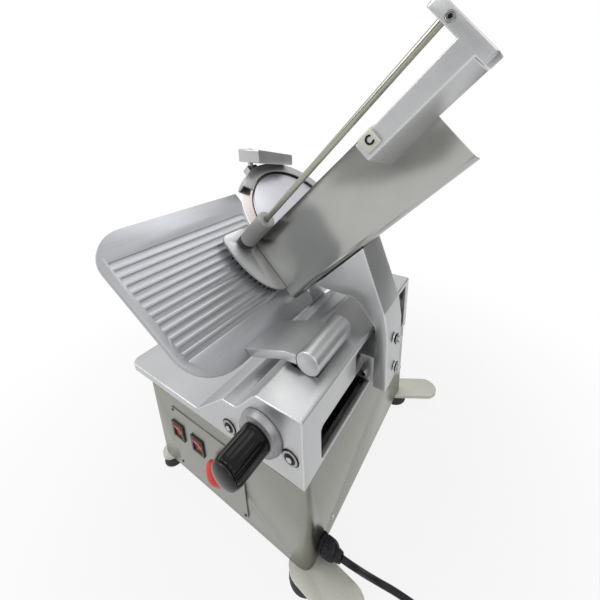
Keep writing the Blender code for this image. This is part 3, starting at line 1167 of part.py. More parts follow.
def carriage_drive():
    """A gearmotor on its stand, two toothed-belt pulleys and the belt that pulls the slide block."""
    mid = DRIVE_X
    stand = FLOOR_PLATE + GAP - BASE_HEIGHT
    half = DRIVE_WIDTH / 2
    flange = PULLEY_FLANGE
    gearbox_right = mid - half - flange - GEARBOX_CLEARANCE
    gearbox_left = gearbox_right - GEARBOX_WIDTH
    top = DRIVE_Z + GEARBOX_HEIGHT / 2
    front = DRIVE_BACK_Y - GEARBOX_LENGTH / 2
    gearbox = add("drive_gearmotor", block(gearbox_left, gearbox_right, front, front + GEARBOX_LENGTH,
                                         stand, top - OVERRUN), "cast")
    shaft_in = gearbox_right - DRIVE_SHAFT_IN
    cut(gearbox, "output_bore", rod("X", (DRIVE_BACK_Y, DRIVE_Z), DRIVE_SHAFT + GAP, shaft_in - GAP,
                                    gearbox_right + OVERRUN))
    middle = (gearbox_left + gearbox_right) / 2
    motor_back = front - DRIVE_MOTOR_LENGTH
    join(gearbox, "motor_can", rod("Y", (middle - DRIVE_MOTOR_SHIFT, DRIVE_Z - DRIVE_MOTOR_DROP),
                                   DRIVE_MOTOR_RADIUS,
                                   motor_back, front + OVERRUN, 24))
    rim = DRIVE_RADIUS + flange
    wheel = [(DRIVE_RADIUS, -half), (DRIVE_RADIUS, half), (rim, half), (rim, half + flange),
             (0, half + flange)]
    left = -half - flange
    tail = shaft_in - mid
    driven = [(0, tail), (DRIVE_SHAFT, tail), (DRIVE_SHAFT, left), (rim, left), (rim, -half)] + wheel
    add("drive_pulley", turned(driven, "X", (0, 0, 0), 20), "steel", location=(mid, DRIVE_BACK_Y, DRIVE_Z))
    bore = IDLER_PIN + GAP
    idle = [(bore, left), (rim, left), (rim, -half)] + wheel[:-1] + [(bore, half + flange)]
    add("idler_pulley", turned(idle, "X", (0, 0, 0), 20), "steel", location=(mid, DRIVE_FRONT_Y, DRIVE_Z))
    post_right = mid + left - GAP
    post = add("idler_post", block(post_right - IDLER_POST, post_right, DRIVE_FRONT_Y - 2 * IDLER_POST,
                                   DRIVE_FRONT_Y + 2 * IDLER_POST, stand, DRIVE_Z + DRIVE_RADIUS),
               "cast")
    join(post, "idler_pin", rod("X", (DRIVE_FRONT_Y, DRIVE_Z), IDLER_PIN, post_right - IDLER_POST / 2,
                                mid + half + flange))
    loops = []
    for radius in (DRIVE_RADIUS + GAP + DRIVE_BELT, DRIVE_RADIUS + GAP):
        loops.append(arc((DRIVE_FRONT_Y, DRIVE_Z), radius, 90, 270, 12) +
                     arc((DRIVE_BACK_Y, DRIVE_Z), radius, -90, 90, 12))
    add("carriage_belt", band(*loops, "X", mid - half + GAP, mid + half - GAP), "rubber")


# The cord's own points, chosen by hand: out of the gland, down to the bench and along it to the coil.
CORD_ROUTE = [(0.0323, 0.030, 0.018), (0.040, 0.031, 0.0165), (0.049, 0.035, 0.009), (0.057, 0.041, -0.003),
              (0.066, 0.047, -0.014), (0.078, 0.052, -0.0215), (0.092, 0.055, -0.0237),
              (0.110, 0.0565, -0.0237),
              (0.135, 0.0574, -0.0237), (0.160, 0.0577, -0.0237), (0.1817, 0.0577, -0.0237)]


def smooth_route(points, steps):
    """Points of a smooth curve through the route's own points."""
    spots = [Vector(point) for point in points]
    spots = [2 * spots[0] - spots[1]] + spots + [2 * spots[-1] - spots[-2]]
    out = []
    for i in range(1, len(spots) - 2):
        a, b, c, d = spots[i - 1:i + 3]
        for k in range(steps):
            t = k / steps
            out.append((2 * b + (c - a) * t + (2 * a - 5 * b + 4 * c - d) * t ** 2 +
                        (3 * b - a - 3 * c + d) * t ** 3) / 2)
    out.append(spots[-2])
    return out


def coil_points():
    """Two layers: the cord spirals in, climbs in half a turn and spirals out again."""
    pitch = CORD_DIAMETER + COIL_SPACE
    climb = CORD_DIAMETER + COIL_SPACE
    outer = COIL_RADIUS + pitch * COIL_TURNS / 2
    inner = outer - pitch * COIL_TURNS
    ground = FLOOR_Z + CORD_DIAMETER / 2 + GAP
    steps = 24
    count = round((2 * COIL_TURNS + 1 / 2) * steps)
    out = []
    for i in range(count + 1):
        turn = i / steps
        past = turn - COIL_TURNS
        if past < 0:
            radius = outer - pitch * turn
            rise = 0
        elif past < 1 / 2:
            radius = inner - pitch * past + 2 * pitch * past ** 2
            rise = (2 * past) ** 2 * (3 - 4 * past)
        else:
            radius = inner + pitch * (past - 1 / 2)
            rise = 1
        angle = math.pi / 2 - 2 * math.pi * turn
        out.append(Vector((COIL_X + radius * math.cos(angle), COIL_Y + radius * math.sin(angle),
                           ground + climb * rise)))
    first = out[0] + (out[0] - out[1]).normalized() * CORD_DIAMETER
    first.y = out[0].y
    last = out[-1] + (out[-1] - out[-2]).normalized() * COIL_TAIL
    return [first] + out + [last]


def least_gap(points):
    """The least gap between turns, measured between points more than half a turn apart along the tube."""
    apart = 12
    nearest = min((points[i] - points[k]).length for i in range(len(points))
                  for k in range(i + apart, len(points)))
    return nearest - CORD_DIAMETER


def tube(name, points, sides):
    data = bpy.data.curves.new(name, "CURVE")
    data.dimensions = "3D"
    data.bevel_depth = CORD_DIAMETER / 2
    data.bevel_resolution = sides
    data.use_fill_caps = True
    spline = data.splines.new("POLY")
    spline.points.add(len(points) - 1)
    for spot, place in zip(spline.points, points):
        spot.co = (*place, 1)
    made = bpy.data.objects.new(name, data)
    bpy.context.scene.collection.objects.link(made)
    made.parent = machine
    data.materials.append(material("rubber"))


def mains_lead():
    """Gland on the right side, the free run, the wound coil and the plug."""
    relief = GLAND_LENGTH - GAP
    profile = [(0, -SHEET - GLAND_NUT / 2), (GLAND_THREAD, -SHEET - GLAND_NUT / 2), (GLAND_THREAD, GAP),
               (GLAND_RADIUS, GAP), (GLAND_RADIUS, GLAND_NUT), (GLAND_RELIEF, GLAND_NUT + GAP),
               (CORD_DIAMETER / 2 + GLAND_LIP, relief), (0, relief)]
    add("cord_gland", turned(profile, "X", (0, GLAND_Y, GLAND_Z), 28), "rubber", machine)
    tube("cord", smooth_route(CORD_ROUTE, 2), 2)
    coil = coil_points()
    print("least gap between the turns, mm:", round(least_gap(coil) * 1000, 2))
    tube("cord_coil", coil, 1)
    end = coil[-1]
    heading = (coil[-1] - coil[-2]).normalized()
    angle = math.atan2(heading.y, heading.x)
    low = FLOOR_Z + GAP - end.z
    near = GAP
    far = PLUG_LENGTH
    half = PLUG_WIDTH / 2
    outline = rounded([(near, -half * PLUG_NECK_SHARE, 0), (far * PLUG_WAIST_SHARE, -half, PLUG_ROUND),
                       (far, -half, PLUG_ROUND / 4), (far, half, PLUG_ROUND / 4),
                       (far * PLUG_WAIST_SHARE, half, PLUG_ROUND), (near, half * PLUG_NECK_SHARE, 0)])
    plug = add("mains_plug", prism(outline, "Z", low, -low), "black_plastic", machine, end)
    plug.rotation_euler.z = angle
    tip = far + PIN_LENGTH
    root = far - PIN_LENGTH / 2
    pins = [block(root, tip, y - PIN_THICK / 2, y + PIN_THICK / 2, GAP, PIN_TALL)
            for y in (-PIN_SPACING / 2, PIN_SPACING / 2)]
    pins += [rod("X", (0, low / 3), PIN_THICK, root, tip, 16)]
    for i, pin in enumerate(pins):
        tool = cutter(f"pin_{i}", pin, machine, end)
        tool.rotation_euler.z = angle
        boolean(plug, tool, "UNION")


def settle():
    """Moves the machine so that its box, without the mains lead, stands centred on the origin."""
    bpy.context.view_layer.update()
    graph = bpy.context.evaluated_depsgraph_get()
    low = Vector((math.inf,) * 3)
    high = -low
    for thing in bpy.data.objects:
        if thing.type != "MESH" or thing.hide_render or thing.name == "mains_plug":
            continue
        shape = thing.evaluated_get(graph)
        for corner in shape.data.vertices:
            place = shape.matrix_world @ corner.co
            low = Vector(map(min, low, place))
            high = Vector(map(max, high, place))
    machine.location = (-(low.x + high.x) / 2, -(low.y + high.y) / 2, -low.z)


base_box()
control_panel()
feet()
switches()
casting()
guide_rods()
thickness_control()
gauge_slide()
gauge_plate()
blade()
ring_guard()
blade_head()
sharpener()
carriage()
pusher()
carriage_drive()
mains_lead()
settle()
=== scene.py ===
import math

import bmesh
import bpy
from mathutils import Matrix, Vector
from mathutils.bvhtree import BVHTree


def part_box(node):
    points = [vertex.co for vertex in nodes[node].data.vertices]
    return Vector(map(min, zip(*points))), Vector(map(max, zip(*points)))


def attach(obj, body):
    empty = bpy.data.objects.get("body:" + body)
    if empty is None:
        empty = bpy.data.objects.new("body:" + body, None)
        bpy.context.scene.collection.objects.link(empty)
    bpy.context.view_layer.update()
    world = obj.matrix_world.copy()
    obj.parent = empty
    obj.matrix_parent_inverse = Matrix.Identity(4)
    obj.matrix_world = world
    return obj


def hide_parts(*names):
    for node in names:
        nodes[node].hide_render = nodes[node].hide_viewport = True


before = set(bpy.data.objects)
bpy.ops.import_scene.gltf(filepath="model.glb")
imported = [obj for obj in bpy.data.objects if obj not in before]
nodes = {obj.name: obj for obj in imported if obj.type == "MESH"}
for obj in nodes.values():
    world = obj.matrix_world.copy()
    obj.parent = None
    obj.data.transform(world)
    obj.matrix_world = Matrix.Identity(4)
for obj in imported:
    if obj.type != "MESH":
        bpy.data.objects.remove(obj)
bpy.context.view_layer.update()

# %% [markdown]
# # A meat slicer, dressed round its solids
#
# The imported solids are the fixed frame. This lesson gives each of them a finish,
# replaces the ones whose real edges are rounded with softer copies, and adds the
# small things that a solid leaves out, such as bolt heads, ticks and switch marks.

scene = bpy.context.scene
base_low, base_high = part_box("base_shell")
CORNER = Vector((base_high.x, base_low.y, base_low.z))
TOP = base_high.z - base_low.z
MM = 0.001
print("solids:", len(nodes), "base height in mm:", round(TOP / MM, 1))

# %% [markdown]
# ## Two frames to measure in
#
# Most of the machine is measured from the front right bottom corner of the base.
# The plate, the blade and the tray lean back by 45 degrees, so they get a frame
# of their own: n stands off the plate, y runs along it and d climbs it.

# %% Places on the machine
LEAN = math.radians(45)
PLATE_FOOT = Vector((-0.155, 0, 0.1193 + TOP))
FOOD = Matrix.Translation(CORNER + PLATE_FOOT) @ Matrix.Rotation(-LEAN, 4, "Y")


def at(x, y, z):
    return CORNER + Vector((x, y, z))


def on_slope(n, y, d):
    return FOOD @ Vector((n, y, d))


print("plate origin:", [round(v, 3) for v in on_slope(0, 0, 0)])

# %% [markdown]
# ## The camera
#
# The picture was taken close by, from above and a little to the right, with a
# wide lens. The shift keeps the machine where the picture has it.

# %% Camera
EYE = at(0.150, -0.198, 0.560)
EYE_RIGHT = (.8376, .5447, -.0215)
EYE_UP = (-.1530, .2720, .9510)
EYE_BACK = (.5238, -.7893, .3120)

camera_data = bpy.data.cameras.new("camera")
camera_data.lens = 19.5
camera_data.sensor_width = 36
camera_data.shift_x = -0.0208
camera_data.shift_y = -0.14
camera_data.clip_start = 0.01
camera = bpy.data.objects.new("camera", camera_data)
scene.collection.objects.link(camera)
facing = Matrix((EYE_RIGHT, EYE_UP, EYE_BACK)).transposed()
camera.matrix_world = Matrix.Translation(EYE) @ facing.to_4x4()
scene.camera = camera
print("camera", round((camera.location - CORNER).length, 3), "m from the corner")

# %% [markdown]
# ## Small helpers for a shader
#
# A finish is a handful of nodes. These helpers add one node each, so that the
# recipe below reads like a list of steps. Colours are given as a screen shows
# them, from 0 to 255, and turned into the light values that a shader takes.

# %% Shader helpers
def shade(r, g, b):
    """A screen colour as light values, by the curve that every screen follows."""
    shares = [c / 255 for c in (r, g, b)]
    light = [s / 12.92 if s < 0.0404 else ((s + 0.055) / 1.055) ** 2.4 for s in shares]
    return (*light, 1)


def add_node(tree, kind, **values):
    """A node with each value set on the input of that name, or else on the node itself."""
    new = tree.nodes.new(kind)
    for key, value in values.items():
        if key in new.inputs.keys():
            new.inputs[key].default_value = value
        else:
            setattr(new, key, value)
    return new


def ranged(tree, source, start, stop):
    """Maps the middle of a noise, where most of it lies, onto the range from start to stop."""
    ends = {"From Min": 0.3, "From Max": 0.7, "To Min": start, "To Max": stop}
    new = add_node(tree, "ShaderNodeMapRange", **ends)
    tree.links.new(source, new.inputs["Value"])
    return new.outputs["Result"]


def maths(tree, kind, first, second):
    """One sum of two numbers, each of them fixed or read from another node."""
    new = add_node(tree, "ShaderNodeMath", operation=kind)
    for socket, value in zip(new.inputs, (first, second)):
        if isinstance(value, (int, float)):
            socket.default_value = value
        else:
            tree.links.new(value, socket)
    return new.outputs["Value"]


print("darkest and lightest shade:", shade(0, 0, 0)[0], shade(255, 255, 255)[0])

# %% [markdown]
# ## Finishes
#
# Every finish here is one recipe with different numbers: a colour that drifts a
# little from place to place, a grain that is finer than the eye quite sees, and a
# gloss that follows the grain. The grain is a noise texture that a Mapping node
# stretches: equal scales give the sandy skin of a casting, unequal ones give
# brushed sheet. Where an edge was rounded, the mesh carries a number called
# edge. There the finish is smoother, as handling leaves it, and brighter: partly
# the wear of handling, partly a painted highlight along the rounded lip.

# %% The recipe for a finish
DRIFT_SCALE = 11.0
LEAST_ROUGH = 0.04


def finish(name, colour, gloss, metal=0.0, grain=(900, 900, 900), turn=0.0, depth=0.05, drift=0.05,
           streak=0.05, spread=0.06, wear_and_highlight=0.0, coat=0.0, shine=0.5):
    """gloss is the roughness, grain the noise scale in each direction per metre, depth the bump in mm."""
    made = bpy.data.materials.new(name)
    made.use_nodes = True
    tree = made.node_tree
    join = tree.links.new
    shader = tree.nodes["Principled BSDF"]

    coords = add_node(tree, "ShaderNodeTexCoord")
    stretch = add_node(tree, "ShaderNodeMapping", Scale=grain, Rotation=(0, turn, 0))
    fine = add_node(tree, "ShaderNodeTexNoise", Scale=1.0, Detail=3.0, Roughness=0.6)
    broad = add_node(tree, "ShaderNodeTexNoise", Scale=DRIFT_SCALE, Detail=3.0, Roughness=0.55)
    join(coords.outputs["Object"], stretch.inputs["Vector"])
    join(stretch.outputs["Vector"], fine.inputs["Vector"])
    join(coords.outputs["Object"], broad.inputs["Vector"])

    edge = add_node(tree, "ShaderNodeAttribute", attribute_name="edge")
    # Painted highlight and wear: the rounded edge faces get a brighter colour, partly for the highlight a
    # rounded lip catches and partly for wear.
    edge_highlight_and_wear = maths(tree, "MULTIPLY", edge.outputs["Fac"], ranged(tree, broad.outputs["Fac"], 0.6, 1.0))
    level = maths(tree, "MULTIPLY", ranged(tree, broad.outputs["Fac"], 1 - drift, 1 + drift),
                  ranged(tree, fine.outputs["Fac"], 1 - streak, 1 + streak))
    level = maths(tree, "ADD", level, maths(tree, "MULTIPLY", edge_highlight_and_wear, wear_and_highlight))
    tint = add_node(tree, "ShaderNodeVectorMath", operation="SCALE")
    tint.inputs[0].default_value = shade(*colour)[:3]
    join(level, tint.inputs["Scale"])
    join(tint.outputs["Vector"], shader.inputs["Base Color"])

    rough = maths(tree, "ADD", ranged(tree, broad.outputs["Fac"], gloss - spread, gloss + spread),
                  ranged(tree, fine.outputs["Fac"], -spread / 2, spread / 2))
    rough = maths(tree, "SUBTRACT", rough, maths(tree, "MULTIPLY", edge_highlight_and_wear, wear_and_highlight / 2))
    join(maths(tree, "MAXIMUM", rough, LEAST_ROUGH), shader.inputs["Roughness"])
    bump = add_node(tree, "ShaderNodeBump", Strength=0.5, Distance=depth * MM)
    join(fine.outputs["Fac"], bump.inputs["Height"])
    join(bump.outputs["Normal"], shader.inputs["Normal"])
    shader.inputs["Metallic"].default_value = metal
    shader.inputs["Coat Weight"].default_value = coat
    shader.inputs["Coat Roughness"].default_value = 0.08
    shader.inputs["Specular IOR Level"].default_value = shine
    return made


print("recipe ready, drift repeats about every", round(1 / DRIFT_SCALE, 2), "m")

# %% [markdown]
# ## The metals
#
# The casting is blasted and a little blue, the sheet is brushed and a little
# green, the ring and the rods are turned and polished. None of them is a full
# mirror: a satin metal sends back a soft, even light.

# %% Metals
CAST = finish("satin_casting", (194, 195, 196), 0.38, 0.84, (700, 700, 700), depth=0.05, wear_and_highlight=0.22)
SHELL = finish("brushed_shell", (146, 146, 139), 0.32, 0.92, (14, 14, 1500),
               depth=0.02, streak=0.07)
TRAY = finish("brushed_tray", (176, 177, 172), 0.20, 0.94, (9, 1600, 1600), LEAN,
              depth=0.003, streak=0.02, drift=0.06, spread=0.03, wear_and_highlight=0.3)
PLATE = finish("pearl_plate", (174, 176, 180), 0.40, 0.78, (500, 20, 500), LEAN,
               depth=0.02, drift=0.06, wear_and_highlight=0.2)
POLISHED = finish("polished_steel", (160, 160, 160), 0.34, 0.94, (1200, 60, 1200),
                  depth=0.01, wear_and_highlight=0.1)
ROD_STEEL = finish("ground_rod", (166, 165, 153), 0.22, 0.96, (90, 90, 90),
                   depth=0.001, streak=0.03)
RING_CAST = finish("satin_ring", (178, 178, 180), 0.42, 0.70, (600, 600, 600),
                   depth=0.03, wear_and_highlight=0.2)
COVER_STEEL = finish("satin_cover", (196, 196, 202), 0.36, 0.80, (40, 900, 900), LEAN,
                     depth=0.005)
EDGE_STEEL = finish("blade_steel", (188, 180, 178), 0.30, 0.94, (1500, 1500, 1500), depth=0.01)
SCREW = finish("bright_screw", (190, 190, 188), 0.22, 0.96, (900, 900, 900),
               depth=0.02, wear_and_highlight=0.1)
BRONZE = finish("cam_bronze", (168, 132, 78), 0.35, 0.9, depth=0.03)

# %% [markdown]
# ## Plastics, rubber and the rest
#
# Moulded plastic has a skin too: a faint sparkle of gloss on the knob, a dull
# bloom on rubber, and the soft, slightly dusty red of the mushroom button.

# %% Plastics and rubber
GLOSS_BLACK = finish("gloss_black", (7, 7, 9), 0.13, grain=(500, 500, 500),
                     depth=0.02, drift=0.15, wear_and_highlight=0.3, shine=0.22)
BEZEL_BLACK = finish("bezel_black", (30, 29, 30), 0.42, depth=0.05, drift=0.1, wear_and_highlight=0.5)
CAP_GREY = finish("cap_grey", (30, 33, 34), 0.22,
                  depth=0.02, drift=0.08, wear_and_highlight=0.4, shine=0.3)
RED = finish("rocker_red", (170, 38, 38), 0.28, depth=0.02, wear_and_highlight=0.6, coat=0.3)
STOP_RED = finish("mushroom_red", (214, 62, 58), 0.34, depth=0.02, wear_and_highlight=0.25, shine=0.4)
RUBBER = finish("foot_rubber", (34, 34, 34), 0.66, depth=0.12, drift=0.12, wear_and_highlight=0.6)
SHEATH = finish("cord_sheath", (30, 30, 36), 0.42, grain=(350, 350, 350),
                depth=0.06, drift=0.1, shine=0.3)
NYLON = finish("gland_nylon", (22, 22, 28), 0.36, depth=0.05, drift=0.1, wear_and_highlight=0.6, shine=0.3)
DIAL = finish("silvered_dial", (158, 158, 162), 0.36, 0.55, (900, 40, 900),
              depth=0.02, wear_and_highlight=0.15)
INK = finish("dial_ink", (70, 70, 76), 0.55, depth=0.01)
# Flat black: the own colour of the clip and the spikes, and painted shade in seats, wells and sockets and
# behind the arm bolts.
BLACK_AND_SHADE = finish("black_and_painted_shade", (12, 12, 13), 0.5, depth=0.03, drift=0.1, shine=0.2)
MARK = finish("switch_mark", (205, 150, 146), 0.45, depth=0.01)
PALE = finish("pale_casting", (212, 212, 202), 0.48, 0.25, (400, 400, 400), depth=0.08, wear_and_highlight=0.12)
SLEEVE = finish("sleeve_casting", (158, 158, 156), 0.46, 0.55, (500, 500, 500),
                depth=0.05, wear_and_highlight=0.15)
MOTOR = finish("motor_enamel", (70, 78, 82), 0.5, grain=(300, 300, 300),
               depth=0.1, wear_and_highlight=0.5)
STONE = finish("grinding_stone", (150, 140, 128), 0.85, grain=(2500, 2500, 2500),
               depth=0.25, drift=0.15)

# %% [markdown]
# ## A finish on every solid
#
# The solids already carry the name of their material slot, so one loop dresses
# them all. The ones that get a softer copy later are hidden by it.

# %% Dress the solids
BY_SLOT = {"cast": CAST, "stainless": SHELL, "steel": POLISHED, "bronze": BRONZE,
           "black_plastic": BEZEL_BLACK, "grey_plastic": CAP_GREY, "red_plastic": RED, "stop_red": STOP_RED,
           "rubber": RUBBER, "dial_silver": DIAL, "motor_paint": MOTOR, "stone": STONE}
for name, solid in nodes.items():
    for slot in solid.material_slots:
        slot.material = BY_SLOT[slot.material.name.split(".")[0]]
for name in ("tray", "hand_guard"):
    nodes[name].material_slots[0].material = TRAY
print("dressed:", len(nodes))

# %% [markdown]
# ## Making a piece
#
# Each piece is one mesh. Flat and round faces meet in the same mesh, so an edge
# is shaded sharp only where its two faces turn by more than the crease angle. A
# softened edge is the bevel of every sharp edge, and the finish finds it by the
# number that its faces carry.

# %% Piece helpers
CREASE = math.radians(32)
FLAT = math.radians(0.8)
SAME_POINT = 0.01


def piece(name, bm, finishes, body, replaces=()):
    """One mesh as an object that rides on a body and, where it says so, stands in for its solids."""
    for face in bm.faces:
        face.smooth = True
    for edge in bm.edges:
        edge.smooth = edge.is_manifold and edge.calc_face_angle(0) < CREASE
    mesh = bpy.data.meshes.new(name)
    bm.to_mesh(mesh)
    bm.free()
    made = bpy.data.objects.new(name, mesh)
    scene.collection.objects.link(made)
    for one in finishes:
        mesh.materials.append(one)
    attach(made, body)
    if replaces:
        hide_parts(*replaces)
    return made


def copy_of(node, merge=SAME_POINT):
    """A copy of a solid, with points closer than merge in mm joined and each flat side made one face."""
    bm = bmesh.new()
    bm.from_mesh(nodes[node].data)
    bmesh.ops.remove_doubles(bm, verts=bm.verts, dist=merge * MM)
    bmesh.ops.dissolve_degenerate(bm, dist=merge * MM, edges=bm.edges)
    bmesh.ops.dissolve_limit(bm, angle_limit=FLAT, verts=bm.verts, edges=bm.edges)
    return bm


def soften(bm, width, segments=2, angle=CREASE, clamp=True):
    """Rounds the edges that turn by more than the angle by a width in mm, and marks the new faces."""
    layer = bm.faces.layers.float.get("edge") or bm.faces.layers.float.new("edge")
    sharp = [edge for edge in bm.edges if edge.is_manifold and edge.calc_face_angle(0) > angle]
    result = bmesh.ops.bevel(bm, geom=sharp, offset=width * MM, offset_type="OFFSET", segments=segments,
                             profile=0.5, affect="EDGES", clamp_overlap=clamp, material=-1)
    for face in result["faces"]:
        face[layer] = 1.0
    return bm


def draw_out(bm, faces, move):
    """Extrudes flat faces and carries the new points along by a vector, which makes them a closed block."""
    drawn = bmesh.ops.extrude_face_region(bm, geom=faces)
    for item in drawn["geom"]:
        if isinstance(item, bmesh.types.BMVert):
            item.co += move
    bmesh.ops.recalc_face_normals(bm, faces=bm.faces)
    return bm


print("crease angle in degrees:", round(math.degrees(CREASE)))

# %% [markdown]
# ## The cord's route
#
# The lead is one flexible length of 1.8 m. It leaves the gland on the right,
# falls to the table, runs out of view and is wound there in a flat double coil
# with the plug beside it. The free stretch is a list of given points, and the
# coil is worked out: it winds in, rises by one thickness while it turns half
# round, and winds out again on top.

# %% The cord's route
CORD_RADIUS = 4 * MM
GROUND = -0.0237
ROUTE = [(0.0323, 0.030, 0.018), (0.040, 0.031, 0.0165), (0.049, 0.035, 0.009), (0.057, 0.041, -0.003),
         (0.066, 0.047, -0.014), (0.078, 0.052, -0.0215), (0.092, 0.055, GROUND), (0.110, 0.0565, GROUND),
         (0.135, 0.0574, GROUND), (0.160, 0.0577, GROUND), (0.1817, 0.0577, GROUND)]
COIL_CENTRE = Vector((0.190, 0.0))
COIL_MIDDLE = 0.047
COIL_PITCH = 0.0089
COIL_TURNS = 2.375
COIL_TAIL = 0.038
STEPS = 24
INNER_SHARE = 0.5625
OUTER_SHARE = 0.0625


def eased(route):
    """Adds a point halfway along each stretch, on the smooth curve through its neighbours."""
    points = [Vector(p) for p in route]
    out = []
    for i in range(len(points) - 1):
        before = points[max(i - 1, 0)]
        after = points[min(i + 2, len(points) - 1)]
        halfway = (points[i] + points[i + 1]) * INNER_SHARE - (before + after) * OUTER_SHARE
        out += [points[i], halfway]
    return out


def coil():
    outer = COIL_MIDDLE + COIL_PITCH * COIL_TURNS / 2
    inner = outer - COIL_PITCH * COIL_TURNS
    out = []
    for i in range(round((2 * COIL_TURNS + 0.5) * STEPS) + 1):
        turn = i / STEPS
        past = turn - COIL_TURNS
        if past < 0:
            radius = outer - COIL_PITCH * turn
            rise = 0
        elif past < 0.5:
            radius = inner - COIL_PITCH * past + 2 * COIL_PITCH * past ** 2
            rise = (2 * past) ** 2 * (3 - 4 * past)
        else:
            radius = inner + COIL_PITCH * (past - 0.5)
            rise = 1
        angle = math.pi / 2 - 2 * math.pi * turn
        out.append(Vector((COIL_CENTRE.x + radius * math.cos(angle), COIL_CENTRE.y + radius * math.sin(angle),
                           GROUND + COIL_PITCH * rise)))
    last = out[-1] + (out[-1] - out[-2]).normalized() * COIL_TAIL
    return out + [last]


lead = [CORNER + p for p in eased(ROUTE)] + [CORNER + p for p in coil()]
print("points on the cord:", len(lead))

# %% [markdown]
# ## The cord and its plug
#
# A curve with a round bevel keeps its thickness all along, which no chain of
# cylinders would. The plug rides with it.

# %% The cord
curve = bpy.data.curves.new("mains_cord", "CURVE")
curve.dimensions = "3D"
curve.bevel_depth = CORD_RADIUS
curve.bevel_resolution = 5
curve.resolution_u = 3
curve.use_fill_caps = True
spline = curve.splines.new("BEZIER")
spline.bezier_points.add(len(lead) - 1)
for knot, place in zip(spline.bezier_points, lead):
    knot.co = place
    knot.handle_left_type = knot.handle_right_type = "AUTO"
cord = bpy.data.objects.new("mains_cord", curve)
scene.collection.objects.link(cord)
curve.materials.append(SHEATH)
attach(cord, "base")
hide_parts("cord", "cord_coil")
plug = piece("plug_body", soften(copy_of("mains_plug"), 0.8), [BEZEL_BLACK, SCREW], "base", ["mains_plug"])

# %% [markdown]
# ## Softened copies
#
# A cast or bent edge is never sharp. Each of these solids is copied, its edges
# are bevelled by about as much as the real one is rounded, and the copy stands
# in. A row holds the solid, its body, the width in mm, the segments and the
# finish. Blender's clamp narrows every edge of a solid to suit its tightest one,
# so the large castings go without it, with their closest points joined first.

# %% Soften the castings and sheets
SOFTER = [
    ("top_casting", "base", 1.6, 3, CAST), ("base_shell", "base", 0.6, 2, SHELL),
    ("control_panel", "base", 0.3, 1, SHELL), ("head_housing", "base", 2.0, 3, CAST),
    ("head_rear_cover", "base", 0.8, 2, CAST), ("ring_guard", "base", 0.8, 2, RING_CAST),
    ("blade_cover", "base", 0.6, 2, COVER_STEEL), ("sharpener_post", "base", 0.5, 1, SCREW),
    ("stop_collar", "base", 0.5, 2, BEZEL_BLACK), ("switch_bezel_1", "base", 0.6, 2, BEZEL_BLACK),
    ("switch_bezel_2", "base", 0.6, 2, BEZEL_BLACK),
    ("stabiliser_front_left", "base", 1.2, 2, PALE), ("stabiliser_front_right", "base", 1.6, 3, PALE),
    ("stabiliser_rear_left", "base", 1.2, 2, PALE), ("stabiliser_rear_right", "base", 1.6, 3, PALE),
    ("foot_front_left", "base", 0.8, 2, RUBBER), ("foot_front_right", "base", 0.8, 2, RUBBER),
    ("foot_rear_left", "base", 0.8, 2, RUBBER), ("foot_rear_right", "base", 0.8, 2, RUBBER),
    ("guide_rod", "base", 0.3, 1, POLISHED), ("side_rod", "base", 0.3, 1, POLISHED),
    ("slide_block", "carriage", 1.5, 2, CAST), ("carriage_arm", "carriage", 2.0, 3, CAST),
    ("tray", "carriage", 0.5, 2, TRAY), ("hand_guard", "carriage", 0.8, 2, CAST),
    ("pusher_rod", "carriage", 0.4, 1, ROD_STEEL), ("rod_bracket", "carriage", 1.6, 3, CAST),
    ("pusher_sleeve", "pusher", 0.8, 2, SLEEVE), ("sleeve_collar", "pusher", 0.5, 2, BEZEL_BLACK),
    ("presser_plate", "pusher", 0.8, 2, CAST),
    ("gauge_plate", "gauge", 0.4, 2, PLATE), ("gauge_bracket", "gauge", 1.4, 3, CAST),
    ("sharpener_box", "sharpener", 1.8, 3, CAST),
    ("blade", "blade_set", 0.1, 1, EDGE_STEEL),
    ("rocker_1", "rocker_1", 0.5, 2, RED), ("rocker_2", "rocker_2", 0.5, 2, RED),
]
UNCLAMPED = ("top_casting", "head_housing", "carriage_arm", "gauge_plate", "gauge_bracket")
CLOSE_POINTS = 0.3
for node, body, width, segments, one in SOFTER:
    if node in UNCLAMPED:
        rounded = soften(copy_of(node, CLOSE_POINTS), width, segments, clamp=False)
    else:
        rounded = soften(copy_of(node), width, segments)
    piece(node + "_soft", rounded, [one], body, [node])
print("softened:", len(SOFTER))

# %% [markdown]
# ## Turned pieces
#
# Knobs, buttons, screws and nuts are all turned. A profile of radius and height
# is spun a full turn, and the seam and the points on the axis are merged. Each
# one is turned standing up and then put in its place on the machine.

# %% Places for turned pieces
QUARTER_TURN = math.radians(90)


def front_of(x, z, y=0.0):
    """A place on the front: local z comes out of it, x goes right and y goes up."""
    return Matrix.Translation(at(x, y, z)) @ Matrix.Rotation(QUARTER_TURN, 4, "X")


def side_of(x, y, z):
    """A place on the right side, with local z pointing right."""
    return Matrix.Translation(at(x, y, z)) @ Matrix.Rotation(QUARTER_TURN, 4, "Y")


def slope_of(n, y, d, axis="Y"):
    """A place in the leaning frame: local z stands off the plate, or with axis X points to the front."""
    return FOOD @ Matrix.Translation(Vector((n, y, d))) @ Matrix.Rotation(QUARTER_TURN, 4, axis)


print("the front faces", tuple(round(v) for v in front_of(0, 0).to_3x3().col[2]))

# %% [markdown]
# ## The lathe
#
# Every turned piece comes off one lathe. Some then get flutes or ribs, which is
# a function that moves each point a little, and some get a socket painted dark
# as shade, which is a second finish on the faces that a test picks out.

# %% The lathe and its helpers
MERGED = 0.001


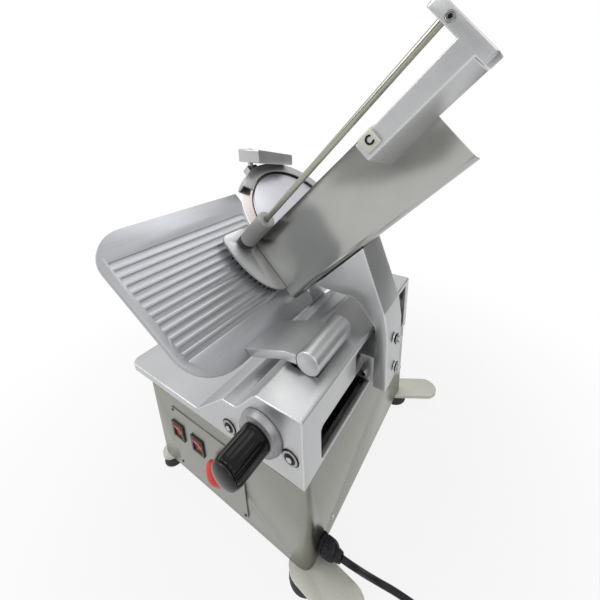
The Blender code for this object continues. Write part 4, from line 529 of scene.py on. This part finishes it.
def lathe(profile, place, steps=48, shape=None):
    """Spins (radius, height) points in mm round local z. shape may move each point before it is placed."""
    bm = bmesh.new()
    points = [bm.verts.new((r * MM, 0, h * MM)) for r, h in profile]
    lines = [bm.edges.new(pair) for pair in zip(points, points[1:])]
    bmesh.ops.spin(bm, geom=points + lines, cent=(0, 0, 0), axis=(0, 0, 1), dvec=(0, 0, 0),
                   angle=2 * math.pi, steps=steps, use_merge=True, use_duplicate=False)
    bmesh.ops.remove_doubles(bm, verts=bm.verts, dist=MERGED * MM)
    bmesh.ops.recalc_face_normals(bm, faces=bm.faces)
    if shape:
        for vert in bm.verts:
            vert.co = shape(vert.co)
    bm.transform(place)
    return bm


def waved(point, count, share):
    """Draws a point towards the axis, on a wave that runs count times round, by a share of its radius."""
    wave = (0.5 + 0.5 * math.cos(count * math.atan2(point.y, point.x))) ** 2
    kept = 1 - share * wave
    return Vector((point.x * kept, point.y * kept, point.z))


def dome(radius, start, rise, step=15, count=7):
    """Profile points of a round top that starts at a height in mm and goes up by rise, step degrees apart."""
    angles = [math.radians(step * k) for k in range(count)]
    return [(radius * math.cos(a), start + rise * math.sin(a)) for a in angles]


def paint(bm, index, place, where):
    """Gives a second finish to the faces whose centre, in the place's own millimetres, passes the test."""
    back = place.inverted()
    for face in bm.faces:
        centre = back @ face.calc_center_median() / MM
        if where(math.hypot(centre.x, centre.y), centre.z):
            face.material_index = index
    return bm


def gather(parts):
    """Puts several meshes into one."""
    whole = bmesh.new()
    for part in parts:
        mesh = bpy.data.meshes.new("part")
        part.to_mesh(mesh)
        part.free()
        whole.from_mesh(mesh)
        bpy.data.meshes.remove(mesh)
    return whole


print("lathe ready, points closer than", MERGED, "mm are merged")

# %% [markdown]
# ## The thickness knob
#
# The knob that sets the slice is a black moulding with twelve shallow flutes for
# a wet hand. The flutes fade out before the skirt, so the radius is lowered by a
# soft wave that grows along the knob.

# %% Knob and cap
KNOB_PLACE = front_of(-0.058, 0.0533 + TOP)
FLUTES = 12
FLUTE_DEPTH = 0.8 * MM
FLUTES_FROM = 15 * MM
FLUTES_GROW = 7 * MM
FLUTED_RADIUS = 17 * MM


def fluted(point):
    grown = min(max((point.z - FLUTES_FROM) / FLUTES_GROW, 0), 1)
    radius = math.hypot(point.x, point.y)
    if grown == 0 or radius < FLUTED_RADIUS:
        return point
    return waved(point, FLUTES, FLUTE_DEPTH * grown / radius)


knob_profile = [(0, 9.6), (20.0, 9.6), (20.5, 10.1), (20.5, 14.6), (20.3, 15.2), (20.2, 17), (20.2, 20),
                (20.2, 23), (20.1, 30), (20.0, 40), (19.9, 50), (19.7, 53), (19.3, 54.8), (18.7, 56.0),
                (17.9, 56.6), (0, 56.6)]
knob = lathe(knob_profile, KNOB_PLACE, 144, fluted)
piece("knob_fluted", knob, [GLOSS_BLACK], "thickness_control", ["thickness_knob"])
cap_profile = [(0, 56.9), (17.2, 56.9), (17.9, 57.4)] + dome(17.9, 57.9, 5.4, 9, 10) + [(0, 63.3)]
cap = lathe(cap_profile, KNOB_PLACE, 72)
piece("knob_dome", cap, [CAP_GREY], "thickness_control", ["knob_cap"])
print("knob with", FLUTES, "flutes, and its cap")

# %% [markdown]
# ## The dial
#
# A turned disc with its ticks engraved and filled, as on a machine tool. Here the
# ticks and numerals stand a tenth of a millimetre proud, so that they never sink
# into the face. The numerals are only generic steps of thickness.

# %% Dial face
dial_profile = [(0, 0.4), (30.6, 0.4), (31.0, 0.8), (31.0, 3.0), (30.8, 3.5), (28.3, 8.9), (27.8, 9.2),
                (0, 9.2)]
piece("dial_disc", lathe(dial_profile, KNOB_PLACE, 96), [DIAL], "thickness_control", ["thickness_dial"])
print("dial", 2 * dial_profile[2][0], "mm across")

# %% [markdown]
# ## Ticks and numerals
#
# Every fifth tick is longer and wider, and every tenth has a numeral at its foot
# that reads from the middle of the dial.

# %% Dial ticks
TICKS = 46
DIAL_SWEEP = math.radians(300)
DIAL_START = math.radians(120)
FACE = 9.15
LONG_TICK = (23.4, 0.55)
SHORT_TICK = (25.0, 0.4)
TICK_OUTER = 27.7
TICK_HEIGHT = 0.14
NUMERAL_RADIUS = 22.1
NUMERAL_SIZE = 2.6
NUMERAL_DEPTH = 0.07
NUMERAL_RISE = 0.06


def tick(inner, width, angle):
    """A short bar along a radius, a little narrower at its outer end. Sizes are in mm."""
    bm = bmesh.new()
    tip = width * 0.36
    corners = [(inner, -width / 2), (TICK_OUTER, -tip), (TICK_OUTER, tip), (inner, width / 2)]
    points = [bm.verts.new((x * MM, y * MM, FACE * MM)) for x, y in corners]
    draw_out(bm, [bm.faces.new(points)], Vector((0, 0, TICK_HEIGHT * MM)))
    bm.transform(Matrix.Rotation(angle, 4, "Z"))
    return bm


def numeral(text, angle):
    """A numeral as a thin flat mesh, centred on its place and turned to stand on the dial's middle."""
    data = bpy.data.curves.new("numeral", "FONT")
    data.body = text
    data.size = NUMERAL_SIZE * MM
    data.extrude = NUMERAL_DEPTH * MM
    data.align_x = "CENTER"
    data.align_y = "CENTER"
    holder = bpy.data.objects.new("numeral", data)
    mesh = bpy.data.meshes.new_from_object(holder)
    bm = bmesh.new()
    bm.from_mesh(mesh)
    along = Vector((NUMERAL_RADIUS * math.cos(angle), NUMERAL_RADIUS * math.sin(angle), FACE + NUMERAL_RISE))
    bm.transform(Matrix.Translation(along * MM) @ Matrix.Rotation(angle - math.pi / 2, 4, "Z"))
    bpy.data.objects.remove(holder)
    bpy.data.meshes.remove(mesh)
    return bm


marks = []
for k in range(TICKS):
    angle = DIAL_START - DIAL_SWEEP * k / (TICKS - 1)
    inner, width = LONG_TICK if k % 5 == 0 else SHORT_TICK
    marks.append(tick(inner, width, angle))
    if k % 10 == 0:
        marks.append(numeral(str(k // 5), angle))
ticks = gather(marks)
ticks.transform(KNOB_PLACE)
piece("dial_ticks", ticks, [INK], "thickness_control")
print("ticks:", TICKS)

# %% [markdown]
# ## The stop button
#
# The mushroom button is a soft red. A shallow ring runs round its top and catches
# the light, and its skirt reaches down round the collar, so that it covers the
# gap and still clears the collar when it is pressed.

# %% Mushroom button
STOP_PLACE = front_of(-0.141, 0.085)
button_profile = [(0, -17.6), (9.4, -17.6), (9.4, 13.4), (15.8, 13.4), (15.8, 8.8), (16.1, 8.5), (19.4, 8.5),
                  (20.0, 9.1), (20.0, 12.4), (19.7, 14.0), (18.9, 15.8), (17.6, 17.4), (15.8, 18.9),
                  (14.9, 19.5), (14.3, 19.3), (13.7, 20.1), (11.6, 21.5), (8.8, 23.1), (6.0, 24.3),
                  (3.0, 25.1), (0, 25.3)]
piece("mushroom", lathe(button_profile, STOP_PLACE, 72), [STOP_RED], "stop_button", ["stop_button"])
print("button stands", button_profile[-1][1], "mm out")

# %% [markdown]
# ## The marks on the rockers
#
# The rockers carry the usual line and ring. A rocker's face is a shallow V, so
# each mark is made flat and then settled: every point moves along y until it lies
# just in front of the rocker.

# %% Switch marks
ROCKER_XS = (-0.237, -0.192)
LINE_Z = 0.0955
LINE_STRETCH = 4
RING_Z = 0.0855
RAY_START = 0.05
MARK_GAP = 0.06
MARK_THICKNESS = 0.1


def settle(bm, node):
    """Lays the back of a flat mark just in front of a solid, and its face a little further out."""
    target = nodes[node].data.copy()
    target.transform(nodes[node].matrix_world)
    tree = BVHTree.FromPolygons([v.co for v in target.vertices], [p.vertices for p in target.polygons])
    for vert in bm.verts:
        start = Vector((vert.co.x, CORNER.y - RAY_START, vert.co.z))
        hit = tree.ray_cast(start, Vector((0, 1, 0)))[0]
        out = MARK_GAP + (MARK_THICKNESS if vert.co.y < CORNER.y else 0)
        if hit:
            vert.co.y = hit.y - out * MM
    bpy.data.meshes.remove(target)
    return bm


for number, x in enumerate(ROCKER_XS, 1):
    name = f"rocker_{number}"
    line = lathe([(0, -0.1), (0.45, -0.1), (0.45, 0.1), (0, 0.1)], front_of(x, LINE_Z))
    middle = at(0, 0, LINE_Z).z
    for vert in line.verts:
        vert.co.z = middle + (vert.co.z - middle) * LINE_STRETCH
    ring = lathe([(1.3, -0.1), (1.9, -0.1), (1.9, 0.1), (1.3, 0.1), (1.3, -0.1)], front_of(x, RING_Z))
    piece(name + "_marks", settle(gather([line, ring]), name), [MARK], name)
print("marks on", len(ROCKER_XS), "rockers")

# %% [markdown]
# ## Nuts and screw heads
#
# Most of the fasteners have one of two heads: a six-sided one with its edges
# broken, or a turned one whose socket is painted dark as shade.

# %% Heads
NUT_CREASE = math.radians(40)
SOCKET_SHARE = 0.6
HEAD_EDGE = 0.5


def hexagon(across, bottom, top, place, turn=0.0, edge=0.3):
    """A six-sided nut or head. across is from flat to flat in mm, and edge is how much is broken off."""
    corner = across / math.sqrt(3)
    bm = lathe([(0, bottom), (corner, bottom), (corner, top), (0, top)],
               place @ Matrix.Rotation(turn, 4, "Z"), 6)
    return soften(bm, edge, 2, NUT_CREASE)


def socket_head(place, radius, height, key=0.5):
    """A turned screw head. The socket is key times as wide as the head, and painted dark inside as shade."""
    rim = radius * key
    bottom = height - SOCKET_SHARE * height
    head = lathe([(0, 0), (radius, 0), (radius, height - HEAD_EDGE), (radius - HEAD_EDGE, height),
                  (rim, height), (rim, bottom), (0, bottom)], place, 36)
    # The socket's faces get the second finish, which is painted shade in the recess.
    return paint(head, 1, place, lambda r, h: r < rim and h > 0.05)


print("socket takes", SOCKET_SHARE, "of a head")

# %% [markdown]
# ## Plugs in the casting
#
# Two plugs close the casting's front, one on each side of the knob. Each shows a
# dark ring where it seats and a dark well, both of them painted shade, and a
# bright six-sided key.

# %% Plugs
PLUGS = {"front_plug_left": (-0.116, 0.176), "front_plug_right": (-0.018, 0.194)}
seat_profile = [(10.8, -0.1), (12.0, -0.1), (12.0, 0.15), (11.7, 0.25), (10.8, 0.25), (10.8, -0.1)]
well_profile = [(0, 1.3), (7.4, 1.3), (7.4, 1.75), (7.1, 1.85), (0, 1.85)]
for name, (x, z) in PLUGS.items():
    place = front_of(x, z)
    # The seat ring and the well are flat black: painted shade of the gap and of the recess.
    piece(name + "_seat", lathe(seat_profile, place, 64), [BLACK_AND_SHADE], "base")
    piece(name + "_well", lathe(well_profile, place, 48), [BLACK_AND_SHADE], "base")
    piece(name + "_key", hexagon(7.0, 1.6, 3.2, place, 0.3), [SCREW], "base")
print("plugs:", len(PLUGS))

# %% [markdown]
# ## Bolts and screws
#
# Two bolts show on the arm, each with a washer, a six-sided head and the end of
# its thread, and a flat dark disc behind it that is a painted shadow. Socket
# heads hold the slide block, and small round heads the panel and the right side.

# %% Bolts and screws
ARM_BOLTS = [(0.200, 0.0823), (0.206, 0.0263)]
ARM_SIDE = 0.0306
SLIDE_SCREWS = [(-0.0085, 0.1742), (-0.0095, 0.1503)]
SLIDE_FRONT = 0.1748
PANEL_SCREWS = [(x, z) for z in (0.1285, 0.0185) for x in (-0.2445, -0.1045)]
PANEL_FACE = -0.0018
shadow_profile = [(0, -0.2), (8.6, -0.2), (8.6, 0.1), (8.4, 0.2), (0, 0.2)]
washer_profile = [(0, 0.1), (6.6, 0.1), (6.9, 0.4), (6.9, 1.2), (6.6, 1.5), (0, 1.5)]
end_profile = [(0, 6.1), (2.9, 6.1), (2.9, 6.5), (2.6, 6.7), (0, 6.7)]

for number, (y, z) in enumerate(ARM_BOLTS, 1):
    place = side_of(ARM_SIDE, y, z + TOP)
    # A flat black disc behind each bolt: a painted shadow.
    piece(f"arm_bolt_{number}_seat", lathe(shadow_profile, place, 40), [BLACK_AND_SHADE], "carriage")
    head = gather([lathe(washer_profile, place, 40), hexagon(9.6, 1.4, 6.2, place, 0.2, 0.4),
                   lathe(end_profile, place, 24)])
    piece(f"arm_bolt_{number}_head", head, [SCREW], "carriage")

for number, (x, z) in enumerate(SLIDE_SCREWS, 1):
    head = socket_head(front_of(x, z, SLIDE_FRONT), 4.6, 3.4)
    piece(f"slide_screw_{number}", head, [SCREW, BLACK_AND_SHADE], "carriage")

for number, (x, z) in enumerate(PANEL_SCREWS, 1):
    head = lathe([(0, 0)] + dome(2.4, 0.1, 1.0), front_of(x, z, PANEL_FACE), 28)
    piece(f"panel_screw_{number}", head, [BEZEL_BLACK], "base")

side_screw = lathe([(0, 0)] + dome(3.4, 0.1, 1.6), side_of(0.0, 0.0609, 0.0218), 28)
piece("side_screw", side_screw, [SCREW], "base")
print("bolts and screws:", len(ARM_BOLTS) + len(SLIDE_SCREWS) + len(PANEL_SCREWS) + 1)

# %% [markdown]
# ## The cord's gland
#
# A cable gland has three parts that show: a hexagon against the wall, a domed nut
# with ribs to grip, and a lip that presses on the sheath.

# %% Gland
GLAND_PLACE = side_of(0.0, 0.030, 0.018)
RIBS = 18
RIB_SHARE = 0.06
RIBBED_RADII = (10.6 * MM, 12.4 * MM)
RIBBED_HEIGHTS = (7.5 * MM, 19 * MM)


def ribbed(point):
    radius = math.hypot(point.x, point.y)
    beside = RIBBED_RADII[0] < radius < RIBBED_RADII[1]
    if beside and RIBBED_HEIGHTS[0] < point.z < RIBBED_HEIGHTS[1]:
        return waved(point, RIBS, RIB_SHARE)
    return point


nut_profile = [(4.2, 6.4), (11.2, 6.4), (11.8, 7.2), (11.9, 8.2), (11.9, 12), (11.8, 16), (11.4, 18.6),
               (10.4, 21.2), (8.8, 23.4), (7.6, 24.4), (7.4, 26.5), (6.6, 30.4), (5.6, 31.6), (4.3, 31.6),
               (4.2, 6.4)]
thread_profile = [(0, -6.4), (8.4, -6.4), (8.4, 6.3), (0, 6.3)]
nut = lathe(nut_profile, GLAND_PLACE, 108, ribbed)
flange = hexagon(23.0, 0.3, 6.2, GLAND_PLACE, 0.26, 0.7)
thread = lathe(thread_profile, GLAND_PLACE, 32)
piece("gland_nut", gather([flange, nut, thread]), [NYLON], "base", ["cord_gland"])
print("gland ribs:", RIBS)

# %% [markdown]
# ## The rod's clamp screw
#
# A socket screw in the bracket's front face clamps the top end of the rod. It
# sits in a bright ring.

# %% Rod screw
ROD_SCREW = slope_of(0.4185, 0.1297, 0.0893, "X")
ring_profile = [(3.6, -0.2), (5.2, -0.2), (5.2, 0.6), (4.8, 1.1), (4.0, 1.1), (3.6, 0.8), (3.6, -0.2)]
piece("rod_screw_ring", lathe(ring_profile, ROD_SCREW, 48), [SCREW], "carriage")
piece("rod_screw", socket_head(ROD_SCREW, 3.5, 0.9, key=0.6), [SCREW, BLACK_AND_SHADE], "carriage")
print("rod screw at", [round(v, 3) for v in ROD_SCREW.translation])

# %% [markdown]
# ## The block and its clip
#
# The bracket ends in a small cast block, drawn along the rod from one outline. A
# spring clip sits on its front: an open ring of flat steel.

# %% Clip block
BLOCK_FROM = 0.2845
BLOCK_LENGTH = 0.0205
block_outline = [(0.1255, 0.0545), (0.140, 0.051), (0.150, 0.078), (0.1255, 0.0735)]
block = bmesh.new()
corners = [block.verts.new(on_slope(BLOCK_FROM, y, d)) for y, d in block_outline]
draw_out(block, [block.faces.new(corners)], FOOD.to_3x3() @ Vector((BLOCK_LENGTH, 0, 0)))
piece("clip_block", soften(block, 1.6, 3), [PALE], "carriage")

CLIP_PLACE = slope_of(0.297, 0.1254, 0.0638, "X")
CLIP_RADII = (3.4, 5.4)
CLIP_THICKNESS = 0.9 * MM
CLIP_START = 40
CLIP_SWEEP = 280
CLIP_STEPS = 20
clip_angles = [math.radians(CLIP_START + CLIP_SWEEP * k / CLIP_STEPS) for k in range(CLIP_STEPS + 1)]
clip = bmesh.new()
inner, outer = [[clip.verts.new(Vector((radius * math.cos(a), radius * math.sin(a), 0)) * MM)
                 for a in clip_angles] for radius in CLIP_RADII]
for k in range(CLIP_STEPS):
    clip.faces.new((inner[k], outer[k], outer[k + 1], inner[k + 1]))
draw_out(clip, clip.faces[:], Vector((0, 0, CLIP_THICKNESS)))
clip.transform(CLIP_PLACE)
piece("spring_clip", clip, [BLACK_AND_SHADE], "carriage")
print("clip open by", 360 - CLIP_SWEEP, "degrees")

# %% [markdown]
# ## The guard's spikes
#
# Under the guard a row of spikes holds the food. They follow the guard's round
# edge, and the first two are short because they pass over the ring.

# %% Spikes
SPIKES = 13
SHORT_SPIKES = 2
SHORT_TIP = 6.8
LONG_TIP = -3.2
SPIKE_START = 4
SPIKE_STEP = 6.6
GUARD_Y = 0.1697
GUARD_HALF_WIDTH = 0.0462
GUARD_TOP = 0.100
GUARD_LOW = 0.0052

spikes = []
for k in range(SPIKES):
    angle = math.radians(SPIKE_START + SPIKE_STEP * k)
    y = GUARD_Y - GUARD_HALF_WIDTH * math.sin(angle)
    d = GUARD_TOP - (GUARD_TOP - GUARD_LOW) * math.cos(angle)
    tip = SHORT_TIP if k < SHORT_SPIKES else LONG_TIP
    spike_profile = [(0, tip), (0.5, tip + 0.3), (2.1, 8.3), (2.1, 9.0), (0, 9.0)]
    spikes.append(lathe(spike_profile, slope_of(0.0, y, d), 16))
piece("guard_spikes", gather(spikes), [BLACK_AND_SHADE], "carriage")
print("spikes:", SPIKES)

# %% [markdown]
# ## The floor
#
# A white floor under soft light, as a catalogue picture has it. To the lens it
# glows almost by itself, and near the machine a small share of it is plain matt
# white, which keeps the shadow.

# %% Floor
FLOOR_HALF = 6
FLOOR_WHITE = 0.7
PAPER_GLOSS = 0.9
SHADOW_FROM = 0.25
SHADOW_TO = 0.8
GLOW_NEAR = 0.86


def stage_piece(name, bm, look):
    """A part of the studio, which isn't a part of the machine."""
    mesh = bpy.data.meshes.new(name)
    bm.to_mesh(mesh)
    bm.free()
    mesh.materials.append(look)
    made = bpy.data.objects.new(name, mesh)
    scene.collection.objects.link(made)
    return made


def seen(tree):
    """One where the ray comes from the lens, a gloss or a glass, and zero elsewhere."""
    path = add_node(tree, "ShaderNodeLightPath")
    direct = maths(tree, "MAXIMUM", path.outputs["Is Camera Ray"], path.outputs["Is Glossy Ray"])
    return maths(tree, "MAXIMUM", direct, path.outputs["Is Transmission Ray"])


white = bpy.data.materials.new("floor_white")
white.use_nodes = True
tree = white.node_tree
join = tree.links.new
matt = tree.nodes["Principled BSDF"]
matt.inputs["Base Color"].default_value = (FLOOR_WHITE, FLOOR_WHITE, FLOOR_WHITE, 1)
matt.inputs["Roughness"].default_value = PAPER_GLOSS
matt.inputs["Specular IOR Level"].default_value = 0.0
glow = add_node(tree, "ShaderNodeEmission", Color=(1, 1, 1, 1))
place = add_node(tree, "ShaderNodeTexCoord")
reach = add_node(tree, "ShaderNodeVectorMath", operation="LENGTH")
ends = {"From Min": SHADOW_FROM, "From Max": SHADOW_TO, "To Min": GLOW_NEAR, "To Max": 1.0}
fade = add_node(tree, "ShaderNodeMapRange", interpolation_type="SMOOTHSTEP", **ends)
join(place.outputs["Object"], reach.inputs[0])
join(reach.outputs["Value"], fade.inputs["Value"])
half = add_node(tree, "ShaderNodeMixShader")
join(maths(tree, "MULTIPLY", seen(tree), fade.outputs["Result"]), half.inputs["Fac"])
join(matt.outputs["BSDF"], half.inputs[1])
join(glow.outputs["Emission"], half.inputs[2])
join(half.outputs["Shader"], tree.nodes["Material Output"].inputs["Surface"])

floor = bmesh.new()
bmesh.ops.create_grid(floor, x_segments=8, y_segments=8, size=FLOOR_HALF)
stage_piece("studio_floor", floor, white)
print("floor", 2 * FLOOR_HALF, "m wide")

# %% [markdown]
# ## The sky and the lamps
#
# The sky is white to the lens and gives less light than it shows. Three soft
# lamps shape the machine: one from the left, a weak one from the right and one
# from above and behind.

# %% Light
SKY_LIGHT = 0.45
world = bpy.data.worlds.new("studio")
world.use_nodes = True
scene.world = world
tree = world.node_tree
sky = tree.nodes["Background"]
sky.inputs["Color"].default_value = (1, 1, 1, 1)
strength = add_node(tree, "ShaderNodeMapRange", **{"To Min": SKY_LIGHT, "To Max": 1.0})
tree.links.new(seen(tree), strength.inputs["Value"])
tree.links.new(strength.outputs["Result"], sky.inputs["Strength"])


def lamp(name, place, target, size, power):
    data = bpy.data.lights.new(name, "AREA")
    data.shape = "RECTANGLE"
    data.size, data.size_y = size
    data.energy = power
    made = bpy.data.objects.new(name, data)
    scene.collection.objects.link(made)
    made.location = place
    made.rotation_euler = (Vector(target) - Vector(place)).to_track_quat("-Z", "Y").to_euler()


lamp("key", (-1.3, -1.5, 1.9), (0, 0, 0.3), (1.4, 1.4), 22)
lamp("fill", (1.5, -0.9, 1.7), (0, 0, 0.3), (1.2, 1.2), 4)
lamp("top", (-0.2, 0.9, 2.2), (0, 0, 0.3), (1.8, 1.0), 8)
scene.view_settings.view_transform = "Standard"
print("lamps:", len(bpy.data.lights))

# %% [markdown]
# ## Cards
#
# Polished metal only looks like metal when it has something darker to show. Grey
# cards stand out of the picture, and only a reflection finds them.

# %% Cards
def card(name, place, target, size, level):
    """A grey card of a width and height, which faces its target."""
    bm = bmesh.new()
    bmesh.ops.create_grid(bm, x_segments=2, y_segments=2, size=0.5)
    turn = (Vector(target) - Vector(place)).to_track_quat("Z", "Y").to_matrix().to_4x4()
    bm.transform(Matrix.Translation(place) @ turn @ Matrix.Diagonal((size[0], size[1], 1, 1)))
    paper = bpy.data.materials.new(name)
    paper.use_nodes = True
    shader = paper.node_tree.nodes["Principled BSDF"]
    shader.inputs["Base Color"].default_value = (level, level, level, 1)
    shader.inputs["Roughness"].default_value = PAPER_GLOSS
    made = stage_piece(name, bm, paper)
    made.visible_camera = False
    made.visible_diffuse = False
    made.visible_shadow = False


card("card_right", (0.85, 0.9, 0.45), (0, 0.5, 0.45), (1.6, 0.9), 0.28)
card("card_low", (1.2, -0.3, 0.30), (0, 0, 0.30), (1.4, 0.6), 0.42)
card("card_front", (-0.5, -1.6, 0.95), (-0.2, 0, 0.5), (2.0, 0.7), 0.60)
